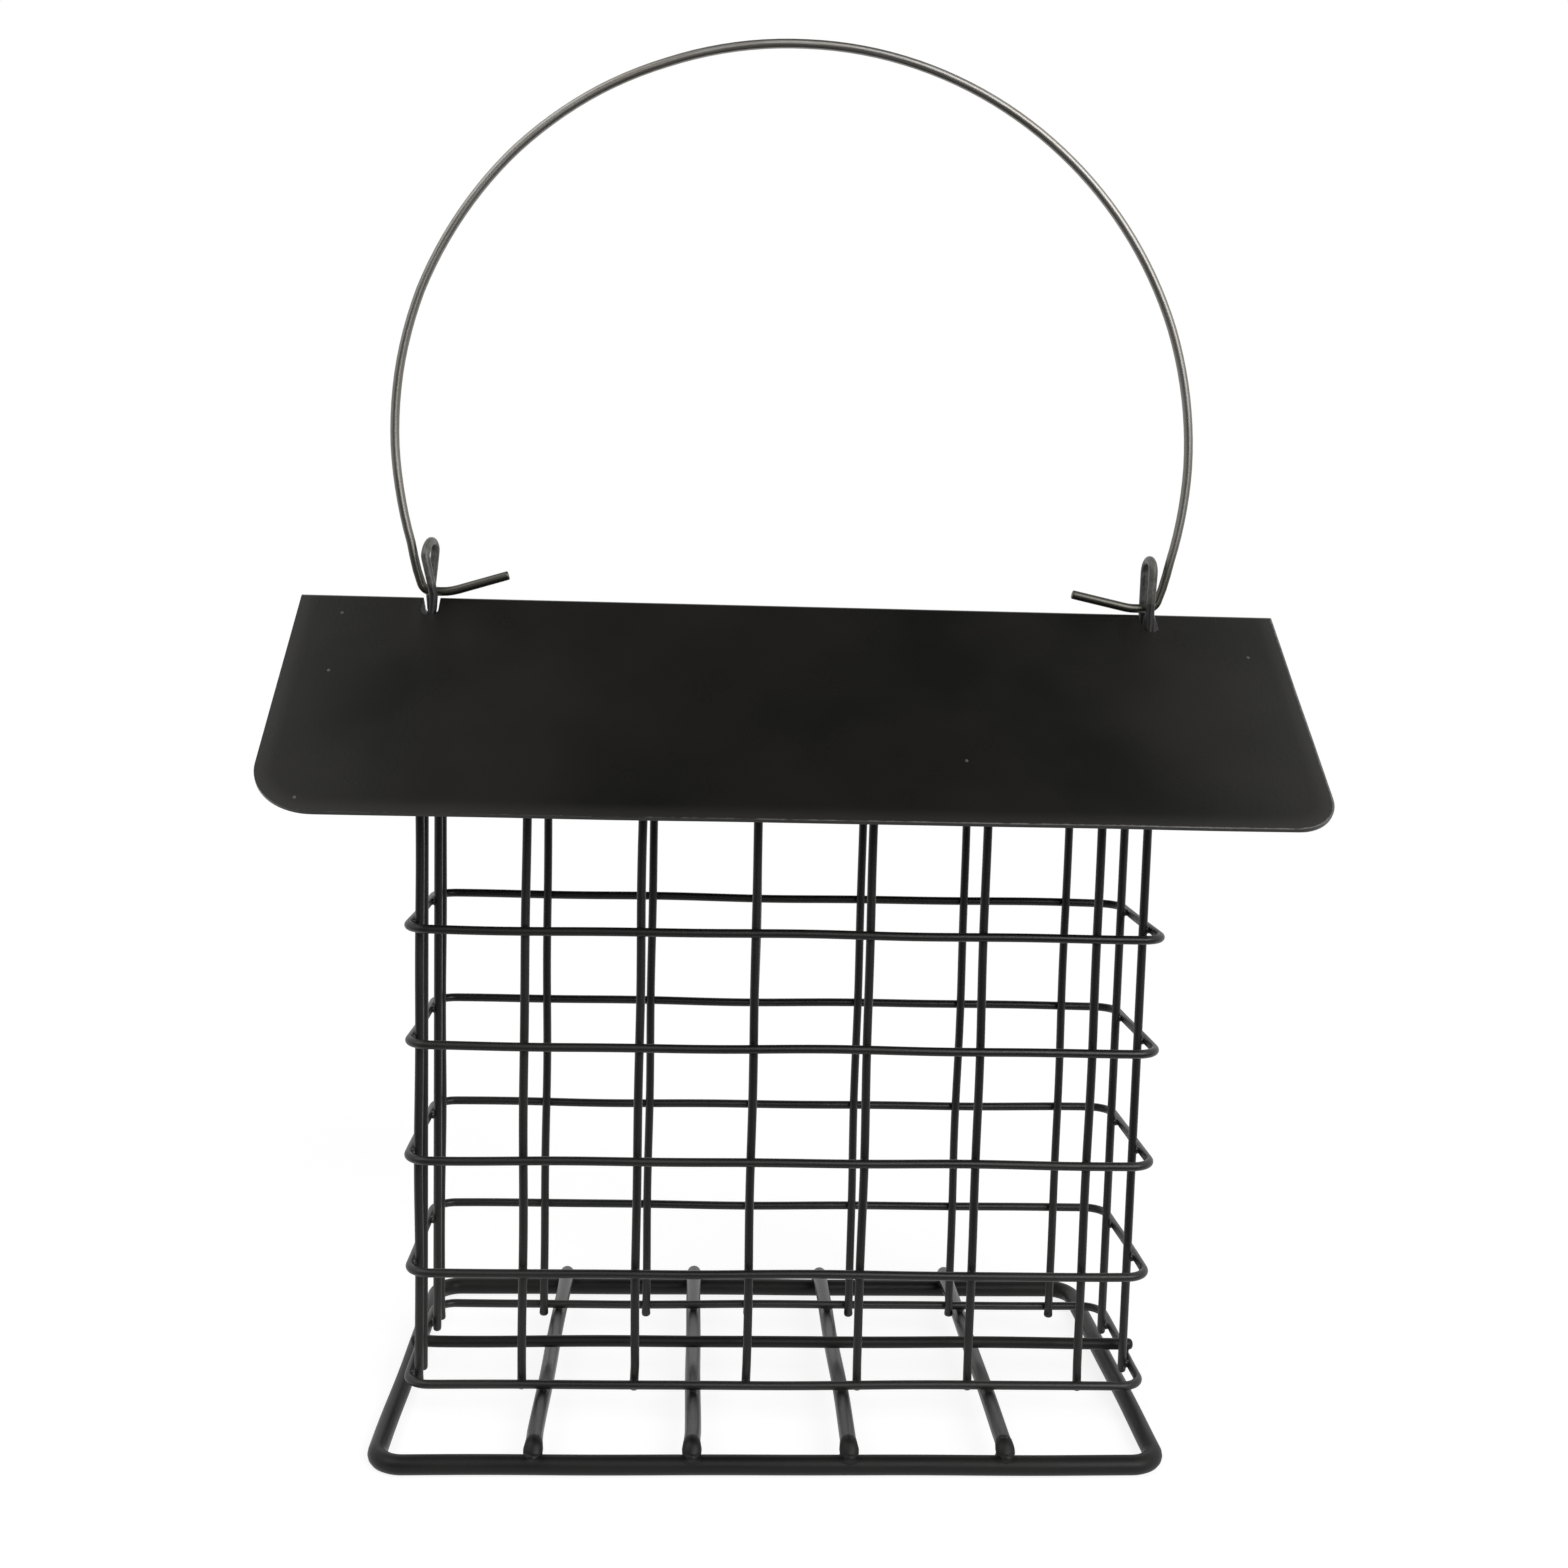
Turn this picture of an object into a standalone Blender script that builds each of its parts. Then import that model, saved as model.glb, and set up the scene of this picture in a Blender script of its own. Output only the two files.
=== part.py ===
"""Hanging suet feeder for garden birds, modelled at its real size in metres.

A cage of welded wire holds a suet cake. It stands on a heavier perch frame. A folded
sheet roof rests on the top ring and slides up on two wire hangers, whose eyes pass
through slots at the ridge. A spring wire bail hooks into the eyes and swings.
X runs along the ridge, Y from front to back, Z up. The origin is on the ground,
midway between the ends and midway between front and back.
"""
import math

import bmesh
import bpy
from mathutils import Vector

# Wire and sheet stock
MESH_WIRE = 0.0018
HANGER_WIRE = 0.0018
FLOOR_WIRE = 0.0025
FRAME_WIRE = 0.0040
BAR_WIRE = 0.0034
BAIL_WIRE = 0.0020
SHEET = 0.0008

# Wires that are welded or rest on each other keep this much between their surfaces
WELD_GAP = 0.0003

# Cage: rings of wire outside, uprights inside them
CAKE_THICKNESS = 0.0380
CAGE_WIDTH = 0.1668
RING_BEND = 0.0050
RING_PITCH = 0.0256
RING_COUNT = 7
FIRST_BAY = 0.0232
UPRIGHT_PITCH = 0.0250
REAR_SHIFT = 0.0014
TIP_BELOW = 0.0020
TIP_ABOVE = 0.0010

# Perch frame under the cage, and the bars across it, welded on a little off the cage's middle
PERCH_OVERHANG = 0.0016
PERCH_REACH = 0.0261
PERCH_SHIFT_X = -0.0025
PERCH_SHIFT_Y = 0.0020
FRAME_BEND = 0.0060
BAR_COUNT = 4
BAR_REAR_OVERHANG = 0.0015

# Floor wire, laid over the side runs of the lowest ring a little in front of their middles
FLOOR_FORWARD = 0.0050
FLOOR_OVERHANG = 0.0008

# Roof
ROOF_OVERHANG = 0.0256
SLOPE_LENGTH = 0.0675
ROOF_PITCH = math.radians(38)
RIDGE_INNER_BEND = 0.0006
EAVE_CORNER = 0.0090
SLOT_WIDTH = 0.0038
SLOT_END_CLEARANCE = 0.0010
CUT_OVERRUN = 0.0100

# Hangers: two legs inside the cage's side, drawn together into an eye above the ridge
LEG_SPACING = 0.0210
EYE_SPACING = 0.0064
EYE_RISE = 0.0123
LEG_STRAIGHT_ABOVE = 0.0015
NECK_BELOW_SLOT = 0.0015
LEG_BEND = 0.0040

# Bail
HOOK_GAP = 0.00065
HOOK_BEND = 0.0025
FOOT_LEAN = math.radians(20)
ARM_FLAT = 0.0040
ARM_REACH = 0.0135
ARM_RISE = math.radians(17)
ARM_BEND = 0.0120

# Facets
MESH_SIDES = 8
FRAME_SIDES = 12
BAIL_SIDES = 10
BEND_STEP = math.radians(18)
BAIL_STEP = math.radians(6)
ROOF_CORNER_STEP = math.radians(11.25)
RIDGE_STEP = math.radians(13)
SLOT_STEP = math.radians(30)

# Places that follow from the sizes above
RING_HALF_WIDTH = (CAGE_WIDTH - MESH_WIRE) / 2
INSIDE_STEP = MESH_WIRE + WELD_GAP
UPRIGHT_Y = (CAKE_THICKNESS + MESH_WIRE) / 2
RING_HALF_DEPTH = UPRIGHT_Y + INSIDE_STEP
CORNER_X = RING_HALF_WIDTH - INSIDE_STEP
CORNER_Y = RING_HALF_DEPTH - RING_BEND
LAST_UPRIGHT_X = RING_HALF_WIDTH - RING_BEND - REAR_SHIFT
UPRIGHT_COUNT = 2 + math.floor((LAST_UPRIGHT_X + CORNER_X - FIRST_BAY) / UPRIGHT_PITCH)
HANGER_X = RING_HALF_WIDTH - (MESH_WIRE + HANGER_WIRE) / 2 - WELD_GAP

FRAME_HALF_WIDTH = CAGE_WIDTH / 2 + PERCH_OVERHANG - FRAME_WIRE / 2
FRAME_HALF_DEPTH = RING_HALF_DEPTH + MESH_WIRE / 2 + PERCH_REACH - FRAME_WIRE / 2
FRAME_FLAT = FRAME_WIRE / 2 * math.cos(math.pi / FRAME_SIDES)
FRAME_Z = FRAME_FLAT
BAR_Z = FRAME_Z + FRAME_FLAT + WELD_GAP + BAR_WIRE / 2
BAR_TOP = BAR_Z + BAR_WIRE / 2
FIRST_RING_Z = BAR_TOP + WELD_GAP + MESH_WIRE / 2
TOP_RING_Z = FIRST_RING_Z + (RING_COUNT - 1) * RING_PITCH
FLOOR_Z = FIRST_RING_Z + (MESH_WIRE + FLOOR_WIRE) / 2 + WELD_GAP

ROOF_HALF_LENGTH = CAGE_WIDTH / 2 + ROOF_OVERHANG
RIDGE_OUTER_BEND = RIDGE_INNER_BEND + SHEET
ROOF_SEAT = MESH_WIRE / 2 + WELD_GAP + SHEET
APEX_Z = TOP_RING_Z + RING_HALF_DEPTH * math.tan(ROOF_PITCH) + ROOF_SEAT / math.cos(ROOF_PITCH)
RIDGE_Z = APEX_Z - RIDGE_OUTER_BEND * (1 / math.cos(ROOF_PITCH) - 1)
SLOT_HALF_LENGTH = (EYE_SPACING + HANGER_WIRE) / 2 + SLOT_END_CLEARANCE
SLOT_FOOT_Z = APEX_Z - SLOT_HALF_LENGTH * math.tan(ROOF_PITCH) - SHEET / math.cos(ROOF_PITCH)
EYE_TOP_Z = RIDGE_Z + EYE_RISE
HOOK_Z = RIDGE_Z + HOOK_GAP + BAIL_WIRE / 2


def clear_scene():
    for item in list(bpy.data.objects):
        bpy.data.objects.remove(item, do_unlink=True)


def make_material(name, colour, roughness, metallic):
    material = bpy.data.materials.new(name)
    material.use_nodes = True
    shader = material.node_tree.nodes["Principled BSDF"]
    shader.inputs["Base Color"].default_value = (*colour, 1)
    shader.inputs["Roughness"].default_value = roughness
    shader.inputs["Metallic"].default_value = metallic
    material.diffuse_color = (*colour, 1)
    return material


def link(name, data, location=(0, 0, 0), parent=None):
    item = bpy.data.objects.new(name, data)
    bpy.context.scene.collection.objects.link(item)
    item.parent = parent
    item.location = location
    return item


def bend(before, corner, after, radius):
    """Points round one bend of a wire, from one straight run to the next."""
    into = (corner - before).normalized()
    out = (after - corner).normalized()
    turn = into.angle(out)
    start = corner - into * radius * math.tan(turn / 2)
    inward = (out - into * into.dot(out)).normalized()
    steps = max(2, math.ceil(turn / BEND_STEP))
    angles = [turn * i / steps for i in range(steps + 1)]
    return [start + radius * (into * math.sin(a) + inward * (1 - math.cos(a))) for a in angles]


def bent_path(corners, radius, closed=False):
    """A wire's centreline through its corners, each rounded to the bend radius."""
    corners = [Vector(c) for c in corners]
    if closed:
        trios = zip(corners[-1:] + corners[:-1], corners, corners[1:] + corners[:1])
        return [point for a, b, c in trios for point in bend(a, b, c, radius)]
    path = [corners[0]]
    for before, corner, after in zip(corners, corners[1:], corners[2:]):
        path += bend(before, corner, after, radius)
    return path + [corners[-1]]


def wire_curve(name, path, diameter, material, sides, closed=False, turn=0):
    """A round wire along a path, with closed ends; turn rolls its facets about its run."""
    curve = bpy.data.curves.new(name, "CURVE")
    curve.dimensions = "3D"
    curve.twist_mode = "Z_UP" if closed else "MINIMUM"
    curve.bevel_depth = diameter / 2
    curve.bevel_resolution = sides // 2 - 2
    curve.use_fill_caps = True
    spline = curve.splines.new("POLY")
    spline.points.add(len(path) - 1)
    spline.use_cyclic_u = closed
    for target, place in zip(spline.points, path):
        target.co = (*place, 1)
        target.tilt = turn
    spline.use_smooth = True
    curve.materials.append(material)
    return curve


def rectangle(half_width, half_depth):
    return [
        (-half_width, -half_depth, 0),
        (half_width, -half_depth, 0),
        (half_width, half_depth, 0),
        (-half_width, half_depth, 0),
    ]


def add_rings(material):
    path = bent_path(rectangle(RING_HALF_WIDTH, RING_HALF_DEPTH), RING_BEND, closed=True)
    curve = wire_curve("mesh_ring", path, MESH_WIRE, material, MESH_SIDES, closed=True)
    for number in range(RING_COUNT):
        link(f"mesh_ring_{number + 1}", curve, (0, 0, FIRST_RING_Z + number * RING_PITCH))


def upright_places(side):
    """Feet of one side's uprights: the first on the ring's left end, the rest a pitch apart."""
    places = [(-CORNER_X, side * CORNER_Y)]
    first_x = FIRST_BAY - CORNER_X + (REAR_SHIFT if side > 0 else 0)
    for number in range(UPRIGHT_COUNT - 1):
        places.append((first_x + number * UPRIGHT_PITCH, side * UPRIGHT_Y))
    return places


def add_uprights(material):
    foot_z = FIRST_RING_Z - TIP_BELOW
    height = TOP_RING_Z + TIP_ABOVE - foot_z
    path = [Vector((0, 0, 0)), Vector((0, 0, height))]
    curve = wire_curve("upright", path, MESH_WIRE, material, MESH_SIDES)
    for prefix, side in (("front", -1), ("rear", 1)):
        for number, (x, y) in enumerate(upright_places(side), start=1):
            link(f"{prefix}_upright_{number}", curve, (x, y, foot_z))


def eye_arc():
    """The half circle over the top of a hanger's eye, from the front leg to the rear."""
    radius = EYE_SPACING / 2
    centre = Vector((0, 0, EYE_TOP_Z - radius))
    steps = math.ceil(math.pi / BEND_STEP)
    angles = [math.pi * i / steps for i in range(steps + 1)]
    return [centre + radius * Vector((0, -math.cos(a), math.sin(a))) for a in angles]


def hanger_leg(side):
    """A leg from its foot up the cage's side and in to the neck below the roof's slot."""
    foot = (0, side * LEG_SPACING / 2, FIRST_RING_Z - TIP_BELOW)
    shoulder = (0, side * LEG_SPACING / 2, TOP_RING_Z + LEG_STRAIGHT_ABOVE)
    neck = (0, side * EYE_SPACING / 2, SLOT_FOOT_Z - NECK_BELOW_SLOT)
    springing = (0, side * EYE_SPACING / 2, EYE_TOP_Z - EYE_SPACING / 2)
    return bent_path([foot, shoulder, neck, springing], LEG_BEND)[:-1]


def add_hangers(material):
    path = hanger_leg(-1) + eye_arc() + hanger_leg(1)[::-1]
    curve = wire_curve("hanger", path, HANGER_WIRE, material, MESH_SIDES)
    link("left_hanger", curve, (-HANGER_X, 0, 0))
    link("right_hanger", curve, (HANGER_X, 0, 0))


def add_floor_wire(material):
    tip_x = RING_HALF_WIDTH + MESH_WIRE / 2 + FLOOR_OVERHANG
    path = [Vector((-tip_x, 0, 0)), Vector((tip_x, 0, 0))]
    curve = wire_curve("floor_wire", path, FLOOR_WIRE, material, BAIL_SIDES)
    link("floor_wire", curve, (0, -FLOOR_FORWARD, FLOOR_Z))


def add_perch(material):
    path = bent_path(rectangle(FRAME_HALF_WIDTH, FRAME_HALF_DEPTH), FRAME_BEND, closed=True)
    flat_down = math.pi / FRAME_SIDES
    frame = wire_curve(
        "perch_frame", path, FRAME_WIRE, material, FRAME_SIDES, closed=True, turn=flat_down
    )
    link("perch_frame", frame, (PERCH_SHIFT_X, PERCH_SHIFT_Y, FRAME_Z))
    rear_end = FRAME_HALF_DEPTH + FRAME_WIRE / 2 + BAR_REAR_OVERHANG
    bar_path = [Vector((0, -FRAME_HALF_DEPTH, 0)), Vector((0, rear_end, 0))]
    bar = wire_curve("perch_bar", bar_path, BAR_WIRE, material, BAIL_SIDES)
    bay = 2 * FRAME_HALF_WIDTH / (BAR_COUNT + 1)
    for number in range(1, BAR_COUNT + 1):
        x = number * bay - FRAME_HALF_WIDTH + PERCH_SHIFT_X
        link(f"perch_bar_{number}", bar, (x, PERCH_SHIFT_Y, BAR_Z))


def fold_point(along):
    """Y and Z on the roof's outer face, a distance along the sheet from the ridge line."""
    arc_end = RIDGE_OUTER_BEND * ROOF_PITCH
    side = math.copysign(1, along)
    angle = min(abs(along), arc_end) / RIDGE_OUTER_BEND
    straight = max(abs(along) - arc_end, 0)
    y = RIDGE_OUTER_BEND * math.sin(angle) + straight * math.cos(angle)
    z = RIDGE_OUTER_BEND * (math.cos(angle) - 1) - straight * math.sin(angle)
    return side * y, z


def roof_rows():
    """Distance from the ridge line and half length of each row across one slope."""
    steps = math.ceil(ROOF_PITCH / RIDGE_STEP)
    arc_end = RIDGE_OUTER_BEND * ROOF_PITCH
    rows = [(arc_end * i / steps, ROOF_HALF_LENGTH) for i in range(steps + 1)]
    centre = SLOPE_LENGTH - EAVE_CORNER
    corner_steps = round(math.pi / 2 / ROOF_CORNER_STEP)
    for i in range(corner_steps + 1):
        angle = math.pi / 2 * i / corner_steps
        pull_in = EAVE_CORNER * (1 - math.cos(angle))
        rows.append((centre + EAVE_CORNER * math.sin(angle), ROOF_HALF_LENGTH - pull_in))
    return rows


def roof_mesh():
    slope = roof_rows()
    rows = [(-along, half) for along, half in slope[:0:-1]] + slope
    mesh = bmesh.new()
    pairs = []
    for along, half in rows:
        y, z = fold_point(along)
        pairs.append([mesh.verts.new((x, y, z)) for x in (-half, half)])
    for (a, b), (c, d) in zip(pairs, pairs[1:]):
        mesh.faces.new((a, b, d, c))
    mesh.normal_update()
    data = bpy.data.meshes.new("roof")
    mesh.to_mesh(data)
    mesh.free()
    return data


def slot_cutter(name, x, parent):
    """A round-ended prism that cuts one hanger's slot across the ridge."""
    radius = SLOT_WIDTH / 2
    offset = SLOT_HALF_LENGTH - radius
    steps = round(math.pi / SLOT_STEP)
    outline = []
    for side in (1, -1):
        for i in range(steps + 1):
            angle = math.pi * i / steps
            outline.append((side * radius * math.cos(angle), side * (offset + radius * math.sin(angle))))
    mesh = bmesh.new()
    base = [mesh.verts.new((px, py, -CUT_OVERRUN)) for px, py in outline]
    face = mesh.faces.new(base)
    lifted = bmesh.ops.extrude_face_region(mesh, geom=[face])
    moved = [v for v in lifted["geom"] if isinstance(v, bmesh.types.BMVert)]
    bmesh.ops.translate(mesh, verts=moved, vec=(0, 0, 2 * CUT_OVERRUN))
    bmesh.ops.recalc_face_normals(mesh, faces=mesh.faces)
    data = bpy.data.meshes.new(name)
    mesh.to_mesh(data)
    mesh.free()
    cutter = link(name, data, (x, 0, 0), parent)
    cutter.hide_render = True
    cutter.display_type = "WIRE"
    return cutter


def add_roof(material, carrier):
    data = roof_mesh()
    data.materials.append(material)
    roof = link("roof", data, parent=carrier)
    sheet = roof.modifiers.new("sheet", "SOLIDIFY")
    sheet.thickness = SHEET
    sheet.offset = -1
    sheet.use_even_offset = True
    for name, x in (("left_slot", -HANGER_X), ("right_slot", HANGER_X)):
        cut = roof.modifiers.new(name, "BOOLEAN")
        cut.operation = "DIFFERENCE"
        cut.solver = "EXACT"
        cut.object = slot_cutter(name + "_cutter", x, carrier)
    data.shade_smooth()
    data.set_sharp_from_angle(angle=2 * RIDGE_STEP)


def half_bail():
    """The left half of the bail's centreline, from the hook's tip to the crown."""
    lean = math.pi / 2 - FOOT_LEAN
    tangent = HOOK_BEND * math.tan(lean / 2)
    corner = Vector((-HANGER_X - tangent, 0, 0))
    foot = corner + tangent * Vector((-math.cos(lean), 0, math.sin(lean)))
    arm_corner = Vector((ARM_FLAT - HANGER_X, 0, 0))
    tip = arm_corner + ARM_REACH * Vector((math.cos(ARM_RISE), 0, math.sin(ARM_RISE)))
    radius = -foot.x / math.cos(FOOT_LEAN)
    centre_z = foot.z + radius * math.sin(FOOT_LEAN)
    hook = [tip] + bend(tip, arm_corner, corner, ARM_BEND) + bend(arm_corner, corner, foot, HOOK_BEND)
    sweep = math.pi / 2 + FOOT_LEAN
    steps = math.ceil(sweep / BAIL_STEP)
    angles = [math.pi + FOOT_LEAN - sweep * i / steps for i in range(1, steps + 1)]
    arc = [Vector((radius * math.cos(a), 0, centre_z + radius * math.sin(a))) for a in angles]
    return hook + arc


def add_bail(material, carrier):
    left = half_bail()
    right = [Vector((-p.x, p.y, p.z)) for p in left[-2::-1]]
    curve = wire_curve("bail", left + right, BAIL_WIRE, material, BAIL_SIDES)
    link("bail", curve, parent=carrier)


def build():
    clear_scene()
    coat = make_material("black_coat", (0.012, 0.012, 0.013), 0.45, 0)
    roof_coat = make_material("roof_coat", (0.017, 0.016, 0.014), 0.5, 0)
    steel = make_material("bail_steel", (0.12, 0.112, 0.1), 0.38, 1)
    add_rings(coat)
    add_uprights(coat)
    add_hangers(coat)
    add_floor_wire(coat)
    add_perch(coat)
    roof_carrier = link("roof_lift", None, (0, 0, RIDGE_Z))
    add_roof(roof_coat, roof_carrier)
    bail_carrier = link("bail_swing", None, (0, 0, HOOK_Z - RIDGE_Z), roof_carrier)
    add_bail(steel, bail_carrier)


build()
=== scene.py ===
# %% [markdown]
# This lesson dresses a hanging suet feeder: a cage of welded wire on a heavier perch
# frame, a folded sheet roof over it and a spring wire bail to hang it by. The
# construction model comes in first as a fixed frame, with each wire in its true place
# but drawn with few facets. Every later step takes its places from that frame, so the
# finished pieces fit without any adjusting.

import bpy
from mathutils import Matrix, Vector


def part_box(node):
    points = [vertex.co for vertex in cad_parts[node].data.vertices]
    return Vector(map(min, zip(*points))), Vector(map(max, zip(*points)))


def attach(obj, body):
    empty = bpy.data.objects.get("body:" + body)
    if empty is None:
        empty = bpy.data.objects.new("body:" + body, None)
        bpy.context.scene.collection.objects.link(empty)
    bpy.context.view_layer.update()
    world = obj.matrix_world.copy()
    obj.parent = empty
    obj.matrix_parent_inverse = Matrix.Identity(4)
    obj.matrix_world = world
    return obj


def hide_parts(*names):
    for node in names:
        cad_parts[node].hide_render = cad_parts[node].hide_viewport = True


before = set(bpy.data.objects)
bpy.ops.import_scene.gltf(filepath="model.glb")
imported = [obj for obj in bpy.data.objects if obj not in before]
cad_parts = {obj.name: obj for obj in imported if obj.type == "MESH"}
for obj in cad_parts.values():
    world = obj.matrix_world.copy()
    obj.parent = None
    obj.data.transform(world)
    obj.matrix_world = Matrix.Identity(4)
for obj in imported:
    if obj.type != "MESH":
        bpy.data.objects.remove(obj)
print("nodes in the frame:", len(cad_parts))

# %% [markdown]
# The rest of Blender's modules come next, with a helper that prints lengths in
# millimetres. A finish adds detail to a part but doesn't make it larger.

# %% Modules and millimetres
import math
import random

import bmesh
import bpy
import numpy as np
from mathutils import Matrix, Vector

MM = 0.001
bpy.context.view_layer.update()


def in_mm(*lengths, digits=1):
    """Lengths in rounded millimetres, for printing."""
    return [round(length / MM, digits) for length in lengths]


# %% [markdown]
# A box in the frame tells where a wire's middle is and how thick it was drawn. A ring's
# box is as high as its wire is thick, so its width less its height is the width from
# wire middle to wire middle. Reading sizes this way keeps them right if the frame
# changes, which copied numbers wouldn't.

# %% Read places from the frame
def middle(node):
    """The middle of a node's box."""
    low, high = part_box(node)
    return (low + high) / 2


def span(node):
    """The size of a node's box along each axis."""
    low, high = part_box(node)
    return high - low


def hoop_reach(node):
    """Half width and half depth of a wire hoop, from wire middle to wire middle."""
    size = span(node)
    return (size.x - size.z) / 2, (size.y - size.z) / 2


def numbered(prefix):
    """The frame's nodes that share a prefix, in order."""
    return sorted(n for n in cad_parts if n.startswith(prefix))


RINGS = numbered("mesh_ring_")
UPRIGHTS = numbered("front_upright_") + numbered("rear_upright_")
BARS = numbered("perch_bar_")
HANGERS = ("left_hanger", "right_hanger")
ring_half_width, ring_half_depth = hoop_reach(RINGS[0])
print(len(RINGS), "rings,", len(UPRIGHTS), "uprights,", len(BARS), "perch bars")
print("ring half width and depth, mm:", in_mm(ring_half_width, ring_half_depth))

# %% [markdown]
# Wire is sold by gauge, and a maker's drawing gives the gauge and the radius of each
# bend, here that of the wire's middle line. These few sizes are the same as in the
# construction model, and the dipped coat adds its own thickness to all the wires but the
# bail. A round wire here has sixteen sides, which is enough for a wire that is a few
# pixels wide.

# %% Gauges and bends
MESH_WIRE = 1.8 * MM
FLOOR_WIRE = 2.5 * MM
FRAME_WIRE = 4.0 * MM
BAR_WIRE = 3.4 * MM
BAIL_WIRE = 2.0 * MM
COAT = 0.08 * MM
RING_BEND = 5.0 * MM
FRAME_BEND = 6.0 * MM
WIRE_SIDES = 16
BEND_STEP = math.radians(7)
RUN_STEP = 3.0 * MM
print("radius of a coated mesh wire, mm:", in_mm(MESH_WIRE / 2 + COAT, digits=2))

# %% [markdown]
# A bent wire could be drawn with Blender's curve tools. Here the route is worked out in
# code, because the welds, the worn spots and the marks of the drawing die have to
# follow it. Each corner becomes an arc, as a bending machine makes it, and the straight
# runs get points every few millimetres so that they can wander a little.

# %% Routes of bent wire
def bend_points(before, corner, after, radius):
    """The arc that rounds one corner of a route."""
    into = (corner - before).normalized()
    out = (after - corner).normalized()
    turn = into.angle(out)
    start = corner - into * radius * math.tan(turn / 2)
    inward = (out - into * into.dot(out)).normalized()
    steps = max(3, math.ceil(turn / BEND_STEP))
    angles = [turn * i / steps for i in range(steps + 1)]
    return [start + radius * (into * math.sin(a) + inward * (1 - math.cos(a))) for a in angles]


def route(corners, radius, closed=False):
    """A route through its corners, each rounded to the bend radius."""
    corners = [Vector(c) for c in corners]
    if closed:
        trios = zip(corners[-1:] + corners[:-1], corners, corners[1:] + corners[:1])
        return [p for a, b, c in trios for p in bend_points(a, b, c, radius)]
    points = [corners[0]]
    for before, corner, after in zip(corners, corners[1:], corners[2:]):
        points += bend_points(before, corner, after, radius)
    return points + [corners[-1]]


def with_run_points(points, closed=False):
    """The same route with points added along its straight runs."""
    loop = points + points[:1] if closed else points
    filled = []
    for a, b in zip(loop, loop[1:]):
        pieces = max(1, math.ceil((b - a).length / RUN_STEP))
        filled += [a.lerp(b, i / pieces) for i in range(pieces)]
    return filled if closed else filled + [points[-1]]


hoop_check = with_run_points(route([(0, 0, 0), (0.1, 0, 0), (0.1, 0.1, 0)], RING_BEND))
print("a bent test wire has", len(hoop_check), "points")

# %% [markdown]
# No hand-welded wire is dead straight. Three slow waves with random starts push each
# route a fraction of a millimetre to the side. The random numbers are seeded with the
# piece's name, so every run of the script bends each wire the same way.

# %% Let a wire wander
WANDER = 0.22 * MM
WANDER_WAVES = (150 * MM, 85 * MM, 47 * MM)


def wander(points, name, amount=WANDER, closed=False, level=False):
    """Pushes a route off its line by slow waves, but not up or down if it stays level."""
    rng = random.Random(name)
    lengths = [(b - a).length for a, b in zip(points, points[1:])]
    along = np.concatenate([[0], np.cumsum(lengths)])
    total = along[-1] + ((points[0] - points[-1]).length if closed else 0)
    moved = np.array(points, float)
    for wave in WANDER_WAVES:
        turns = max(1, round(total / wave)) if closed else total / wave
        for axis in range(2 if level else 3):
            start = rng.uniform(0, 2 * math.pi)
            share = amount / len(WANDER_WAVES)
            moved[:, axis] += share * np.sin(2 * math.pi * turns * along / total + start)
    return [Vector(p) for p in moved]


print("wires wander by up to, mm:", in_mm(WANDER, digits=2))

# %% [markdown]
# Blender keeps a shape's data apart from the object that shows it, and an object is seen
# only when it is linked to a collection. Every piece, lamp and sheet of the studio needs
# both steps, so they are written once.

# %% New objects
def add_object(name, data):
    """A new object that shows some data in the scene."""
    item = bpy.data.objects.new(name, data)
    bpy.context.scene.collection.objects.link(item)
    return item


def object_from(name, mesh):
    """A new object with the faces of a bmesh, which is freed."""
    data = bpy.data.meshes.new(name)
    mesh.to_mesh(data)
    mesh.free()
    return add_object(name, data)


def keep_values(piece, name, value_at):
    """Keeps a number with each of a piece's points, worked out from its place."""
    values = [value_at(v.co) for v in piece.data.vertices]
    piece.data.attributes.new(name, "FLOAT", "POINT").data.foreach_set("value", values)


# %% [markdown]
# Sweeping a circle along the route makes the wire. At each point the circle stands
# square to the route, and its start is carried over from the point before, so the
# surface doesn't twist. For that, each point needs its direction and a side direction.

# %% Directions along a route
def directions(points, closed):
    """The unit direction of a route at each point."""
    before = np.roll(points, 1, axis=0)
    after = np.roll(points, -1, axis=0)
    if not closed:
        before[0] = points[0]
        after[-1] = points[-1]
    steps = after - before
    return steps / np.linalg.norm(steps, axis=1)[:, None]


def carried_sides(runs, start):
    """A side direction at each point, carried along the route without twist."""
    sides = []
    side = np.array(start, float)
    for run in runs:
        side = side - run * (side @ run)
        side = side / np.linalg.norm(side)
        sides.append(side)
    return np.array(sides)


check_runs = directions(np.array(hoop_check), closed=False)
print("the test wire ends in the direction", [round(float(part), 3) for part in check_runs[-1]])

# %% [markdown]
# Now the circles themselves, as rows of points. Each point also keeps where it would be
# if the wire were straightened out. The bail's material uses that for marks that run
# along the wire.

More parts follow.
